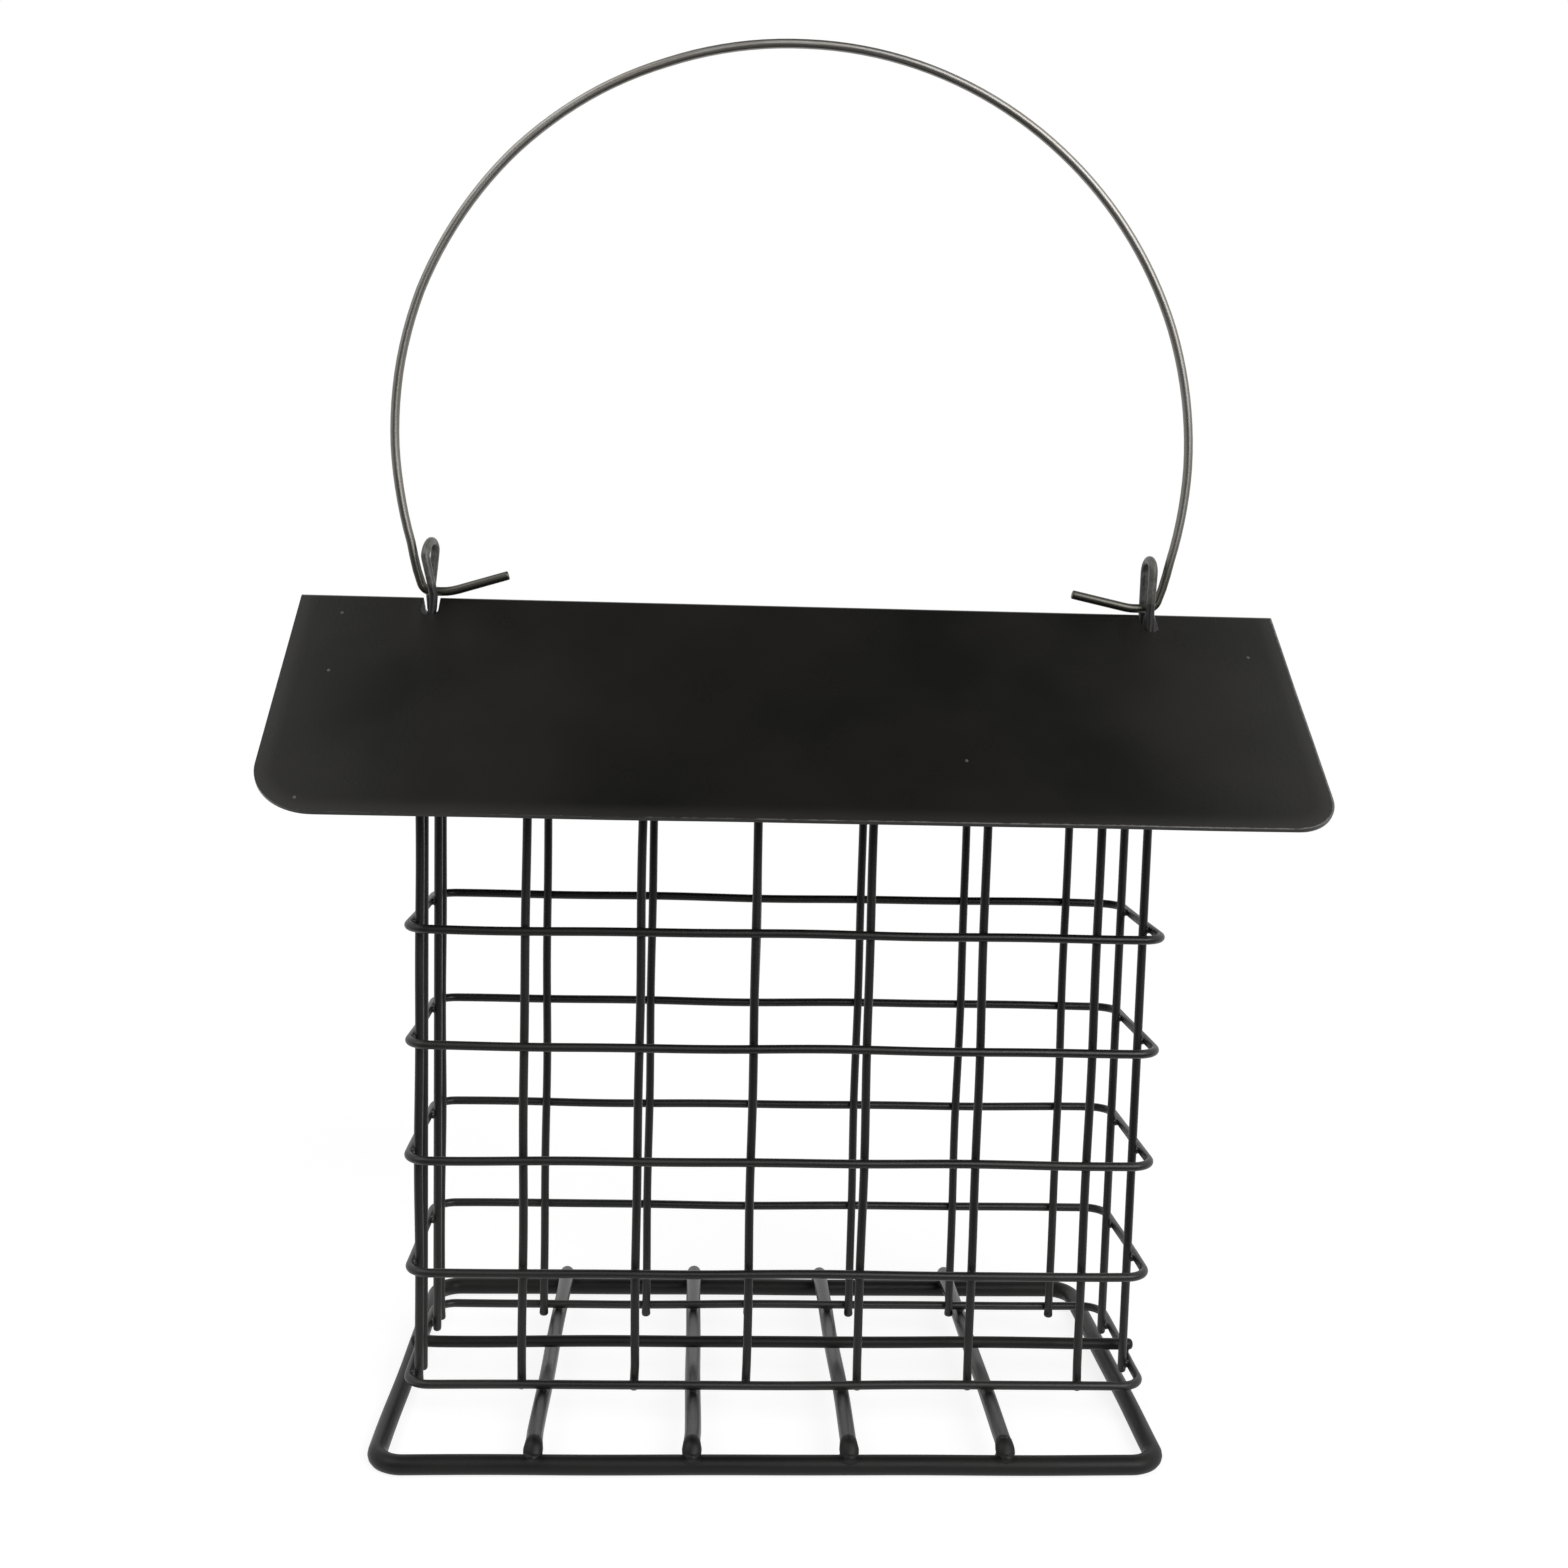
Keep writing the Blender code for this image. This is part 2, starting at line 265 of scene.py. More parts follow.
# %% Sweep a circle along a route
def swept_rows(points, radii, closed, start):
    """Rows of points round a route, and the same points on the straightened wire."""
    points = np.array(points, float)
    runs = directions(points, closed)
    sides = carried_sides(runs, start)
    ups = np.cross(runs, sides)
    gaps = np.linalg.norm(np.diff(points, axis=0), axis=1)
    along = np.concatenate([[0], np.cumsum(gaps)])
    angles = np.arange(WIRE_SIDES) * 2 * math.pi / WIRE_SIDES
    wide = np.cos(angles)[None, :] * np.array(radii)[:, None]
    high = np.sin(angles)[None, :] * np.array(radii)[:, None]
    rows = points[:, None] + wide[..., None] * sides[:, None] + high[..., None] * ups[:, None]
    flat = np.stack([wide, high, np.broadcast_to(along[:, None], wide.shape)], axis=-1)
    return rows, flat


def tube_faces(row_count, closed):
    """Quads between neighbouring rows, and a flat face over each open end."""
    faces = []
    last = row_count if closed else row_count - 1
    for row in range(last):
        here = row * WIRE_SIDES
        there = (row + 1) % row_count * WIRE_SIDES
        for side in range(WIRE_SIDES):
            following = (side + 1) % WIRE_SIDES
            faces.append((here + side, here + following, there + following, there + side))
    if not closed:
        faces.append(tuple(range(WIRE_SIDES))[::-1])
        faces.append(tuple(range((row_count - 1) * WIRE_SIDES, row_count * WIRE_SIDES)))
    return faces


def wire_mesh(name, points, radii, closed=False, start=(0, 0, 1)):
    """A smooth round wire as a new object."""
    rows, flat = swept_rows(points, radii, closed, start)
    mesh = bpy.data.meshes.new(name)
    mesh.from_pydata(rows.reshape(-1, 3).tolist(), [], tube_faces(len(points), closed))
    mesh.shade_smooth()
    straight = mesh.attributes.new("straightened", "FLOAT_VECTOR", "POINT")
    straight.data.foreach_set("vector", flat.astype(np.float32).ravel())
    return add_object(name, mesh)


print("a wire of ten rows has", len(tube_faces(10, closed=False)), "faces")

# %% [markdown]
# The ends matter on wire goods. A cut mesh wire gathers coating into a drop, so its end
# is a small dome, and the end of a thick bar is a flatter one. The bail isn't coated, so
# its sheared end stays flat with a slight chamfer. Each is written as a profile: how far
# back from the end, and how wide, as shares of the wire's radius.

# %% Ends of the wires
DOMED_END_SHARES = ((1.0, 1.0), (0.6, 0.97), (0.3, 0.86), (0.1, 0.62), (0.0, 0.3))
BLUNT_END_SHARES = ((0.5, 1.0), (0.22, 0.97), (0.06, 0.86), (0.0, 0.7))
SHEARED_END_SHARES = ((0.4, 1.0), (0.12, 0.97), (0.0, 0.86))


def with_ends(points, radius, profile):
    """A route and its radii with both ends shaped by a profile."""
    first, second = points[0], points[1]
    last, before = points[-1], points[-2]
    into_start = (second - first).normalized()
    into_end = (before - last).normalized()
    start = [(first + into_start * back * radius, wide * radius) for back, wide in profile[::-1]]
    end = [(last + into_end * back * radius, wide * radius) for back, wide in profile]
    body = [(p, radius) for p in points[1:-1]]
    both = start + body + end
    return [p for p, _ in both], [r for _, r in both]


print("a domed end has", len(DOMED_END_SHARES), "rows of points")

# %% [markdown]
# Now the finishes. An effect that several coatings share is a shader node group with
# named sockets. These helpers make a group's sockets and its nodes, so each group below
# reads as a short list of what it does. An input is named by its label, or by its place
# where several inputs share a label, as i0 and i1 do on a Math node.

# %% Helpers for shader nodes
def new_group(name, inputs, outputs):
    """A node group with its named sockets, and its two end nodes."""
    group = bpy.data.node_groups.new(name, "ShaderNodeTree")
    for label, kind, value in inputs:
        socket = group.interface.new_socket(name=label, in_out="INPUT", socket_type=kind)
        socket.default_value = value
    for label, kind in outputs:
        group.interface.new_socket(name=label, in_out="OUTPUT", socket_type=kind)
    return group, group.nodes.new("NodeGroupInput"), group.nodes.new("NodeGroupOutput")


def add_node(tree, kind, settings=None, **inputs):
    """A node with its settings, and its inputs set to values or linked to sockets."""
    node = tree.nodes.new(kind)
    for key, value in (settings or {}).items():
        setattr(node, key, value)
    for key, value in inputs.items():
        place = int(key[1:]) if key[1:].isdigit() else key.replace("_", " ")
        if isinstance(value, bpy.types.NodeSocket):
            tree.links.new(value, node.inputs[place])
        else:
            node.inputs[place].default_value = value
    return node


def calculate(tree, operation, *numbers):
    """The outcome of a Math node."""
    inputs = {f"i{place}": number for place, number in enumerate(numbers)}
    return add_node(tree, "ShaderNodeMath", {"operation": operation}, **inputs).outputs[0]


def rise(tree, value, reach, shape="SMOOTHSTEP"):
    """A step of a number from nought to one between two limits."""
    start, end = reach
    settings = {"interpolation_type": shape}
    step = add_node(tree, "ShaderNodeMapRange", settings, Value=value, From_Min=start, From_Max=end)
    return step.outputs["Result"]


NUMBER = "NodeSocketFloat"
PLACE = "NodeSocketVector"
print("kinds of sockets:", NUMBER, PLACE)

# %% [markdown]
# Coating dries with a fine skin like orange peel, and its tone drifts a little from
# place to place. The group turns a position into both: a small height for bump and a
# slow patchiness that later mixes two near blacks.

# %% Group for the coating's skin
PATCH_EDGES = (0.35, 0.65)


def make_coating_skin():
    """The group that gives the coat's fine peel and its slow patches."""
    group, given, result = new_group(
        "coating_skin",
        [("Position", PLACE, (0, 0, 0)), ("Peel Scale", NUMBER, 900), ("Patch Scale", NUMBER, 30)],
        [("Peel", NUMBER), ("Patches", NUMBER)],
    )
    at = given.outputs["Position"]
    fine, slow = (
        add_node(group, "ShaderNodeTexNoise", Vector=at, Scale=given.outputs[scale], Detail=detail)
        for scale, detail in (("Peel Scale", 2), ("Patch Scale", 3))
    )
    patches = rise(group, slow.outputs["Fac"], PATCH_EDGES, "LINEAR")
    group.links.new(fine.outputs["Fac"], result.inputs["Peel"])
    group.links.new(patches, result.inputs["Patches"])
    return group


coating_skin = make_coating_skin()
print("group:", coating_skin.name, [socket.name for socket in coating_skin.interface.items_tree])

# %% [markdown]
# A few specks of dust lie on any dark goods. Cells of a Voronoi texture place them: a
# speck is the middle of a cell, and only some cells, picked by their random colour,
# have one. That keeps them sparse and uneven, as real specks are. The cells are flat and
# seen from above, because specks lie on a surface and don't float in space.

# %% Group for dust specks
def make_dust_specks():
    """The group that gives a mask of sparse specks."""
    inputs = [("Position", PLACE, (0, 0, 0)), ("Scale", NUMBER, 60)]
    inputs += [("Size", NUMBER, 0.020), ("Share", NUMBER, 0.09)]
    group, given, result = new_group("dust_specks", inputs, [("Specks", NUMBER)])
    cells = add_node(
        group, "ShaderNodeTexVoronoi", {"voronoi_dimensions": "2D"},
        Vector=given.outputs["Position"], Scale=given.outputs["Scale"],
    )
    close = calculate(group, "LESS_THAN", cells.outputs["Distance"], given.outputs["Size"])
    pick = add_node(group, "ShaderNodeSeparateColor", Color=cells.outputs["Color"])
    chosen = calculate(group, "LESS_THAN", pick.outputs["Red"], given.outputs["Share"])
    group.links.new(calculate(group, "MULTIPLY", close, chosen), result.inputs["Specks"])
    return group


dust_specks = make_dust_specks()
print("group:", dust_specks.name)

# %% [markdown]
# Where wire rubs on wire the coating thins and grey metal starts to show. A piece marks
# such places with an attribute from nought to one. The group breaks the mark up with
# noise, so that the worn patch has a ragged edge. The roof's lighter edge line, part wear
# and part painted highlight, goes through the same group.

# %% Group for rubbed coating and the roof's painted edge highlight
WEAR_EDGES = (0.85, 1.35)


def make_wear_and_sheen_mask():
    """The group that gives a mask of rubbed-through coat, and of the roof's painted edge highlight.
    """
    group, given, result = new_group(
        "wear_and_sheen_mask",
        [("Position", PLACE, (0, 0, 0)), ("Rub", NUMBER, 0), ("Scale", NUMBER, 700)],
        [("Bare", NUMBER)],
    )
    at = given.outputs["Position"]
    grit = add_node(group, "ShaderNodeTexNoise", Vector=at, Scale=given.outputs["Scale"], Detail=4)
    total = calculate(group, "ADD", given.outputs["Rub"], grit.outputs["Fac"])
    group.links.new(rise(group, total, WEAR_EDGES, "LINEAR"), result.inputs["Bare"])
    return group


wear_and_sheen_mask = make_wear_and_sheen_mask()
print("group:", wear_and_sheen_mask.name)

# %% [markdown]
# A material starts with its Principled shader and the numbers that are the same all
# over it. Then a group node is placed in it with the values for that coating. The
# position comes from the object's own coordinates, so the pattern stays on the piece
# when the piece moves.

# %% Start a material
def new_material(name, **numbers):
    """A material, its Principled shader, and its position socket."""
    material = bpy.data.materials.new(name)
    material.use_nodes = True
    tree = material.node_tree
    shader = tree.nodes["Principled BSDF"]
    for label, value in numbers.items():
        shader.inputs[label.replace("_", " ")].default_value = value
    position = add_node(tree, "ShaderNodeTexCoord").outputs["Object"]
    return material, tree, shader, position


def place_group(tree, group, **values):
    """A group node with some of its inputs set or linked."""
    return add_node(tree, "ShaderNodeGroup", {"node_tree": group}, **values)


def mix_colours(tree, amount, first, second):
    """The mix of two colours by an amount."""
    node = add_node(tree, "ShaderNodeMix", {"data_type": "RGBA"}, i0=amount, i6=first, i7=second)
    return node.outputs[2]


def mix_numbers(tree, amount, first, second):
    """The mix of two numbers by an amount."""
    node = add_node(tree, "ShaderNodeMix", {"data_type": "FLOAT"}, i0=amount, i2=first, i3=second)
    return node.outputs[0]


def kept_value(tree, name, output="Fac"):
    """What a piece's points keep under a name."""
    return add_node(tree, "ShaderNodeAttribute", {"attribute_name": name}).outputs[output]


def link_finish(tree, shader, colour, roughness, height, depth):
    """Links a finish to its shader, with bump for what is too fine to model."""
    bump = add_node(tree, "ShaderNodeBump", Height=height, Distance=depth, Strength=1.0)
    tree.links.new(colour, shader.inputs["Base Color"])
    tree.links.new(roughness, shader.inputs["Roughness"])
    tree.links.new(bump.outputs["Normal"], shader.inputs["Normal"])


print("groups for the materials:", [group.name for group in bpy.data.node_groups])

# %% [markdown]
# The wire coat is a satin black dip. It is nearly black by itself, and what makes it
# read as grey along the perch bars is the pale room reflected at a shallow angle. Three
# glosses are needed: the bars are polished by birds' feet, and the thick frame below
# them is dull, because a heavy wire cools slowly and the dip on it dries matt. The table
# gives each coat its gloss and then the two ends of its roughness.

# %% Wire coat
COAT_BLACK = (0.0060, 0.0060, 0.0064, 1)
COAT_WARM = (0.0095, 0.0092, 0.0084, 1)
WORN_STEEL = (0.100, 0.101, 0.090, 1)
COAT_PEEL = 0.03 * MM
COATS = {
    "mesh_coat": (0.44, 0.34, 0.46),
    "bar_coat": (0.74, 0.34, 0.44),
    "frame_coat": (0.22, 0.40, 0.52),
}


def make_wire_coat(name, gloss, smoothest, roughest):
    """A dipped coat with its gloss and the two ends of its roughness."""
    material, tree, shader, position = new_material(name, Specular_IOR_Level=gloss)
    skin = place_group(tree, coating_skin, Position=position).outputs
    bare = place_group(tree, wear_and_sheen_mask, Position=position, Rub=kept_value(tree, "rub"))
    coat = mix_colours(tree, skin["Patches"], COAT_BLACK, COAT_WARM)
    colour = mix_colours(tree, bare.outputs["Bare"], coat, WORN_STEEL)
    roughness = mix_numbers(tree, skin["Patches"], smoothest, roughest)
    link_finish(tree, shader, colour, roughness, skin["Peel"], COAT_PEEL)
    return material


mesh_coat, bar_coat, frame_coat = (
    make_wire_coat(name, *numbers) for name, numbers in COATS.items()
)
print("materials:", *COATS)

# %% [markdown]
# Two kinds of hoop are made of bent wire: the seven mesh rings and the heavier perch
# frame. A rectangle of corners, rounded and closed, is the whole shape. The frame's
# node names say where each hoop goes, and the new hoop takes over from the node. The
# perch frame was drawn with few facets and stands on flat ones. The round frame is a
# little thicker, so it is lifted until it stands on the floor.

# %% Hoops
def dress(piece, coat, slot, body, *nodes):
    """Gives a finished piece its coat, its body and the nodes that it stands for."""
    piece.data.materials.append(coat)
    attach(piece, body)
    if nodes:
        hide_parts(*nodes)
    return piece


def dress_wire(piece, coat, *nodes):
    """Gives a coated wire or weld of the cage its coat."""
    return dress(piece, coat, "black_coat", "cage", *nodes)


SQUARE = ((-1, -1), (1, -1), (1, 1), (-1, 1))


def hoop(node, gauge, bend, lift=0.0, level=False):
    """A closed, rounded rectangle of wire where the frame has one, or lifted off it."""
    half_width, half_depth = hoop_reach(node)
    centre = middle(node) + Vector((0, 0, lift))
    corners = [centre + Vector((x * half_width, y * half_depth, 0)) for x, y in SQUARE]
    points = with_run_points(route(corners, bend, closed=True), closed=True)
    points = wander(points, node, closed=True, level=level)
    radii = [gauge / 2 + COAT] * len(points)
    return wire_mesh(node + "_coated", points, radii, closed=True)


for node in RINGS:
    dress_wire(hoop(node, MESH_WIRE, RING_BEND), mesh_coat, node)
frame_lift = FRAME_WIRE / 2 + COAT - middle("perch_frame").z
perch_frame = hoop("perch_frame", FRAME_WIRE, FRAME_BEND, frame_lift, level=True)
dress_wire(perch_frame, frame_coat, "perch_frame")
print("lift that stands the round frame on the floor, mm:", in_mm(frame_lift, digits=3))

# %% [markdown]
# The uprights and perch bars are plain cut lengths. The coating gathers at the foot of
# an upright, because the cage hangs by its top while it drips dry, so the radius
# swells slightly over the last millimetres. The swelling is a smooth bump of the
# distance from the foot. The bars are trimmed at both ends: at the back almost flush
# with the frame, and in front to leave room for a bead of weld.

# %% Cut lengths
FOOT_SWELL_SHARE = 0.16
FOOT_SWELL_LENGTH = 1.3 * MM
REAR_TRIM = 2.6 * MM
FRONT_TRIM = 0.8 * MM


def tips(node, axis):
    """The middles of a node's two ends along an axis, which is 0, 1 or 2."""
    first, last = middle(node), middle(node)
    first[axis], last[axis] = (corner[axis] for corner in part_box(node))
    return first, last


def cut_length(node, gauge, start, end, swell=0.0, profile=DOMED_END_SHARES):
    """A straight piece of wire with shaped ends, swollen towards its start."""
    points = wander(with_run_points([start, end]), node)
    near = [start.lerp(end, i * MM / (end - start).length) for i in (1, 2)]
    points = [points[0]] + near + points[2:]
    points, radii = with_ends(points, gauge / 2 + COAT, profile)
    for i, point in enumerate(points):
        away = (point - start).length / FOOT_SWELL_LENGTH
        radii[i] *= 1 + swell * math.exp(-away * away)
    return wire_mesh(node + "_coated", points, radii, start=(1, 0, 0))


for node in UPRIGHTS:
    foot, head = tips(node, 2)
    dress_wire(cut_length(node, MESH_WIRE, foot, head, FOOT_SWELL_SHARE), mesh_coat, node)
for node in BARS:
    front, rear = tips(node, 1)
    front.y += FRONT_TRIM
    rear.y -= REAR_TRIM
    bar = cut_length(node, BAR_WIRE, front, rear, profile=BLUNT_END_SHARES)
    dress_wire(bar, bar_coat, node)
print(len(UPRIGHTS) + len(BARS), "cut lengths")

# %% [markdown]
# The floor wire is the cake's seat: a thicker straight length, laid over the two ends of
# the lowest ring and welded there, a little in front of their middles. Like the frame, it
# is thick and its dip has dried duller.

# %% Floor wire
floor_wire = cut_length("floor_wire", FLOOR_WIRE, *tips("floor_wire", 0))
dress_wire(floor_wire, frame_coat, "floor_wire")
print("floor wire, mm:", in_mm(span("floor_wire").x))

# %% [markdown]
# Each hanger is one wire: up inside the cage's side, drawn in under the roof, through
# a slot at the ridge and round into an eye. The eye's half circle is tighter than the
# other bends, so the route is made of two legs with that arc between them.

# %% Legs and eyes
EYE_SPACING = 6.4 * MM
LEG_BEND = 4.0 * MM
SHOULDER_ABOVE_RING = 1.5 * MM
NECK_BELOW_RIDGE = 6.0 * MM

ridge_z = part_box("roof")[1].z
eye_top_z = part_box("left_hanger")[1].z


def leg_place(node, side):
    """The middle of a hanger's front (-1) or rear (1) leg, seen from above."""
    return middle(node).x, side * (span(node).y - MESH_WIRE) / 2


def hanger_leg(node, side):
    """A hanger's leg from its foot to where the eye's arc springs."""
    low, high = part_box(node)
    x, leg_y = leg_place(node, side)
    eye_y = side * EYE_SPACING / 2
    shoulder_z = middle(RINGS[-1]).z + SHOULDER_ABOVE_RING
    springing_z = high.z - MESH_WIRE / 2 - EYE_SPACING / 2
    leg = [(x, leg_y, low.z), (x, leg_y, shoulder_z)]
    neck = [(x, eye_y, ridge_z - NECK_BELOW_RIDGE), (x, eye_y, springing_z)]
    return with_run_points(route(leg + neck, LEG_BEND))


def eye_arc(node):
    """The half circle over the top of a hanger's eye, without its two ends."""
    radius = EYE_SPACING / 2
    centre = Vector((middle(node).x, 0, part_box(node)[1].z - MESH_WIRE / 2 - radius))
    steps = math.ceil(math.pi / BEND_STEP)
    angles = [math.pi * i / steps for i in range(1, steps)]
    return [centre + radius * Vector((0, -math.cos(a), math.sin(a))) for a in angles]


print("eye tops at, mm:", in_mm(eye_top_z))

# %% [markdown]
# The eyes were closed by hand, and each has its own turn in degrees at the slot and at
# the top, its own slant and its own lean. The bail's hooks have rubbed them, most of all
# at the top, so each point keeps how much its coat has suffered.

# %% Hangers
EYE_TWISTS = {"left_hanger": (17, -12), "right_hanger": (0, 3)}
EYE_SLANTS = {"left_hanger": 1.8 * MM, "right_hanger": 0.3 * MM}
EYE_LEANS = {"left_hanger": -0.4 * MM, "right_hanger": 0.2 * MM}
TWIST_REACH = 10.0 * MM
EYE_RUB = 0.62
BEARING_RUB = 0.30
RUB_REACH = 3.0 * MM


def part_way(share):
    """A share kept between nought and one."""
    return min(max(share, 0), 1)


def twisted(points, node):
    """The same points with the eye turned about the hanger's middle line and slanted."""
    at_slot, at_top = EYE_TWISTS[node]
    turned = []
    for point in points:
        below = part_way((point.z - ridge_z) / NECK_BELOW_RIDGE + 1)
        above = part_way((point.z - ridge_z) / TWIST_REACH)
        angle = math.radians(at_slot * below * (1 - above) + at_top * above)
        lift = EYE_SLANTS[node] * above * above * point.y / EYE_SPACING
        x = point.x - point.y * math.sin(angle) + EYE_LEANS[node] * above
        turned.append(Vector((x, point.y * math.cos(angle), point.z + lift)))
    return turned


def eye_rub(place):
    """The eyes are rubbed all over, and most at the top, where the bail bears."""
    above = (place.z - ridge_z) / RUB_REACH
    from_top = (eye_top_z - place.z) / RUB_REACH
    return EYE_RUB * part_way(above) + BEARING_RUB * math.exp(-from_top * from_top)


for node in HANGERS:
    points = twisted(hanger_leg(node, -1) + eye_arc(node) + hanger_leg(node, 1)[::-1], node)
    points, radii = with_ends(points, MESH_WIRE / 2 + COAT, DOMED_END_SHARES)
    hanger = wire_mesh(node + "_coated", points, radii, start=(1, 0, 0))
    keep_values(hanger, "rub", eye_rub)
    dress_wire(hanger, mesh_coat, node)
    print(node, "is a wire of", len(points), "rows")

# %% [markdown]
# Wherever two wires cross, they are welded. The weld is small: the coating over it
# looks like a little saddle, long along one wire at its foot and long along the other
# at its head. It could be sculpted once and copied, but the wires differ in thickness
# and direction, so a small loft of ellipses makes each one where it is.

# %% One weld between two wires
WELD_SIDES = 12
WELD_ROWS = 9
WELD_LONG_SHARE = 1.55
WELD_ACROSS_SHARE = 0.86
WELD_WAIST_SHARE = 0.80
WELD_DEPTH_SHARE = 0.45
FULL_WELD = 1.30


def ellipse(centre, first, second):
    """The points of an ellipse with two half axes."""
    angles = [2 * math.pi * side / WELD_SIDES for side in range(WELD_SIDES)]
    return [centre + first * math.cos(a) + second * math.sin(a) for a in angles]


def weld_rows(a, run_a, radius_a, b, run_b, radius_b, fullness=1.0):
    """Ellipses from inside one wire to inside the other."""
    apart = (b - a).normalized()
    start = a + apart * radius_a * WELD_DEPTH_SHARE
    end = b - apart * radius_b * WELD_DEPTH_SHARE
    rows = []
    for row in range(WELD_ROWS):
        t = row / (WELD_ROWS - 1)
        foot = (1 - t) ** 2
        head = t ** 2
        waist = (1 - foot - head) * WELD_WAIST_SHARE
        least = min(radius_a, radius_b) * fullness
        along_a = least * (foot * WELD_LONG_SHARE + waist + head * WELD_ACROSS_SHARE)
        along_b = least * (head * WELD_LONG_SHARE + waist + foot * WELD_ACROSS_SHARE)
        rows.append(ellipse(start.lerp(end, t), run_a * along_a, run_b * along_b))
    return rows


print("a weld has", WELD_SIDES * WELD_ROWS, "points")

# %% [markdown]
# A hundred separate weld objects would be slow to handle. The welds of one ring, or of
# the perch, go into one bmesh as closed bodies and become a single object.

# %% A group of welds
def add_weld(mesh, rows):
    """Adds one weld to a bmesh as a closed body."""
    verts = [[mesh.verts.new(p) for p in ring] for ring in rows]
    for here, there in zip(verts, verts[1:]):
        for side in range(WELD_SIDES):
            following = (side + 1) % WELD_SIDES
            mesh.faces.new((here[side], here[following], there[following], there[side]))
    mesh.faces.new(verts[0][::-1])
    mesh.faces.new(verts[-1])


def weld_piece(name, welds, coat=mesh_coat):
    """One object that holds a group of welds, each given by its rows."""
    mesh = bmesh.new()
    for rows in welds:
        add_weld(mesh, rows)
    bmesh.ops.recalc_face_normals(mesh, faces=mesh.faces)
    piece = object_from(name, mesh)
    piece.data.shade_smooth()
    dress_wire(piece, coat)


print("welds that a ring will need:", len(UPRIGHTS) + 2 * len(HANGERS))

# %% [markdown]
# The crossings follow from the frame. Every ring is welded to every upright and to the
# four legs of the hangers. The first upright on each side stands against the ring's end
# run, the others against its long runs.

# %% Welds of the rings
ALONG_X = Vector((1, 0, 0))
ALONG_Y = Vector((0, 1, 0))
UPWARDS = Vector((0, 0, 1))


def ring_and_upright(ring_z, upright):
    """The weld of a ring at some height and one upright."""
    x, y, _ = middle(upright)
    side = math.copysign(1, y)
    inner = Vector((x, y, ring_z))
    if upright.endswith("_1"):
        run = ALONG_Y
        outer = Vector((-ring_half_width, y, ring_z))
    else:
        run = ALONG_X
        outer = Vector((x, side * ring_half_depth, ring_z))
    return weld_rows(outer, run, MESH_WIRE / 2, inner, UPWARDS, MESH_WIRE / 2)


def ring_and_leg(ring_z, hanger, side):
    """The weld of a ring's side run and one leg of a hanger."""
    x, y = leg_place(hanger, side)
    outer = Vector((math.copysign(ring_half_width, x), y, ring_z))
    inner = Vector((x, y, ring_z))
    return weld_rows(outer, ALONG_Y, MESH_WIRE / 2, inner, UPWARDS, MESH_WIRE / 2)


for number, ring in enumerate(RINGS, start=1):
    ring_z = middle(ring).z
    welds = [ring_and_upright(ring_z, upright) for upright in UPRIGHTS]
    welds += [ring_and_leg(ring_z, hanger, side) for hanger in HANGERS for side in (-1, 1)]
    weld_piece(f"ring_{number}_welds", welds)
    print(len(welds), "welds on ring", number)

# %% [markdown]
# The perch bars lie across the frame below and carry the lowest ring, and the floor wire
# lies across the ring's ends. These are the remaining welds. They are larger, because
# the wires are thicker, and they have the frame's dull coat.

# %% Welds of the perch and the floor
def stacked(x, y, lower, upper, fullness=1.0):
    """The weld of two wires that cross, each given by its height, direction and gauge."""
    low_z, low_run, low_wire = lower
    high_z, high_run, high_wire = upper
    low, high = Vector((x, y, low_z)), Vector((x, y, high_z))
    return weld_rows(low, low_run, low_wire / 2, high, high_run, high_wire / 2, fullness)


frame_half_depth = hoop_reach("perch_frame")[1]
frame_run = (FRAME_WIRE / 2, ALONG_X, FRAME_WIRE)
bar_run = (middle(BARS[0]).z, ALONG_Y, BAR_WIRE)
ring_long_run = (middle(RINGS[0]).z, ALONG_X, MESH_WIRE)
ring_side_run = (middle(RINGS[0]).z, ALONG_Y, MESH_WIRE)
floor_run = (middle("floor_wire").z, ALONG_X, FLOOR_WIRE)
perch_welds = []
for bar in BARS:
    x = middle(bar).x
    for side in (-1, 1):
        frame_y = middle("perch_frame").y + side * frame_half_depth
        perch_welds.append(stacked(x, frame_y, frame_run, bar_run, FULL_WELD))
        perch_welds.append(stacked(x, side * ring_half_depth, bar_run, ring_long_run))
for x in (-ring_half_width, ring_half_width):
    perch_welds.append(stacked(x, middle("floor_wire").y, ring_side_run, floor_run))
weld_piece("perch_welds", perch_welds, frame_coat)
print(len(perch_welds), "welds on the perch and the floor wire")

# %% [markdown]
# In front the bars end on the frame, and there the weld runs over the bar's tip and
# slopes down to the frame. Such a bead is a loft of upright ellipses along the bar. Each
# row of the profile says, in millimetres, how far behind the node's end the ellipse
# stands, its half width, its half height and how far it has sunk. The bead has the
# frame's dull coat, so the bar's shine stops short of it.

# %% Beads on the front ends of the bars
BEAD_PROFILE = (
    (-1.6, 0.70, 0.60, 1.90),
    (-1.4, 1.25, 1.00, 1.80),
    (-0.9, 1.80, 1.45, 1.45),
    (-0.3, 2.05, 1.75, 0.95),
    (0.4, 2.10, 1.92, 0.45),
    (1.2, 2.00, 1.93, 0.18),
    (1.9, 1.92, 1.90, 0.02),
    (2.5, 1.86, 1.85, 0.00),
    (2.9, 1.72, 1.72, 0.00),
)


def bead_rows(bar):
    """Upright ellipses over the front end of a bar."""
    tip = tips(bar, 1)[0]
    rows = []
    for back, wide, high, sunk in BEAD_PROFILE:
        centre = tip + (ALONG_Y * back - UPWARDS * sunk) * MM
        rows.append(ellipse(centre, ALONG_X * wide * MM, UPWARDS * high * MM))
    return rows


weld_piece("perch_beads", [bead_rows(bar) for bar in BARS], frame_coat)
print(len(BARS), "beads")

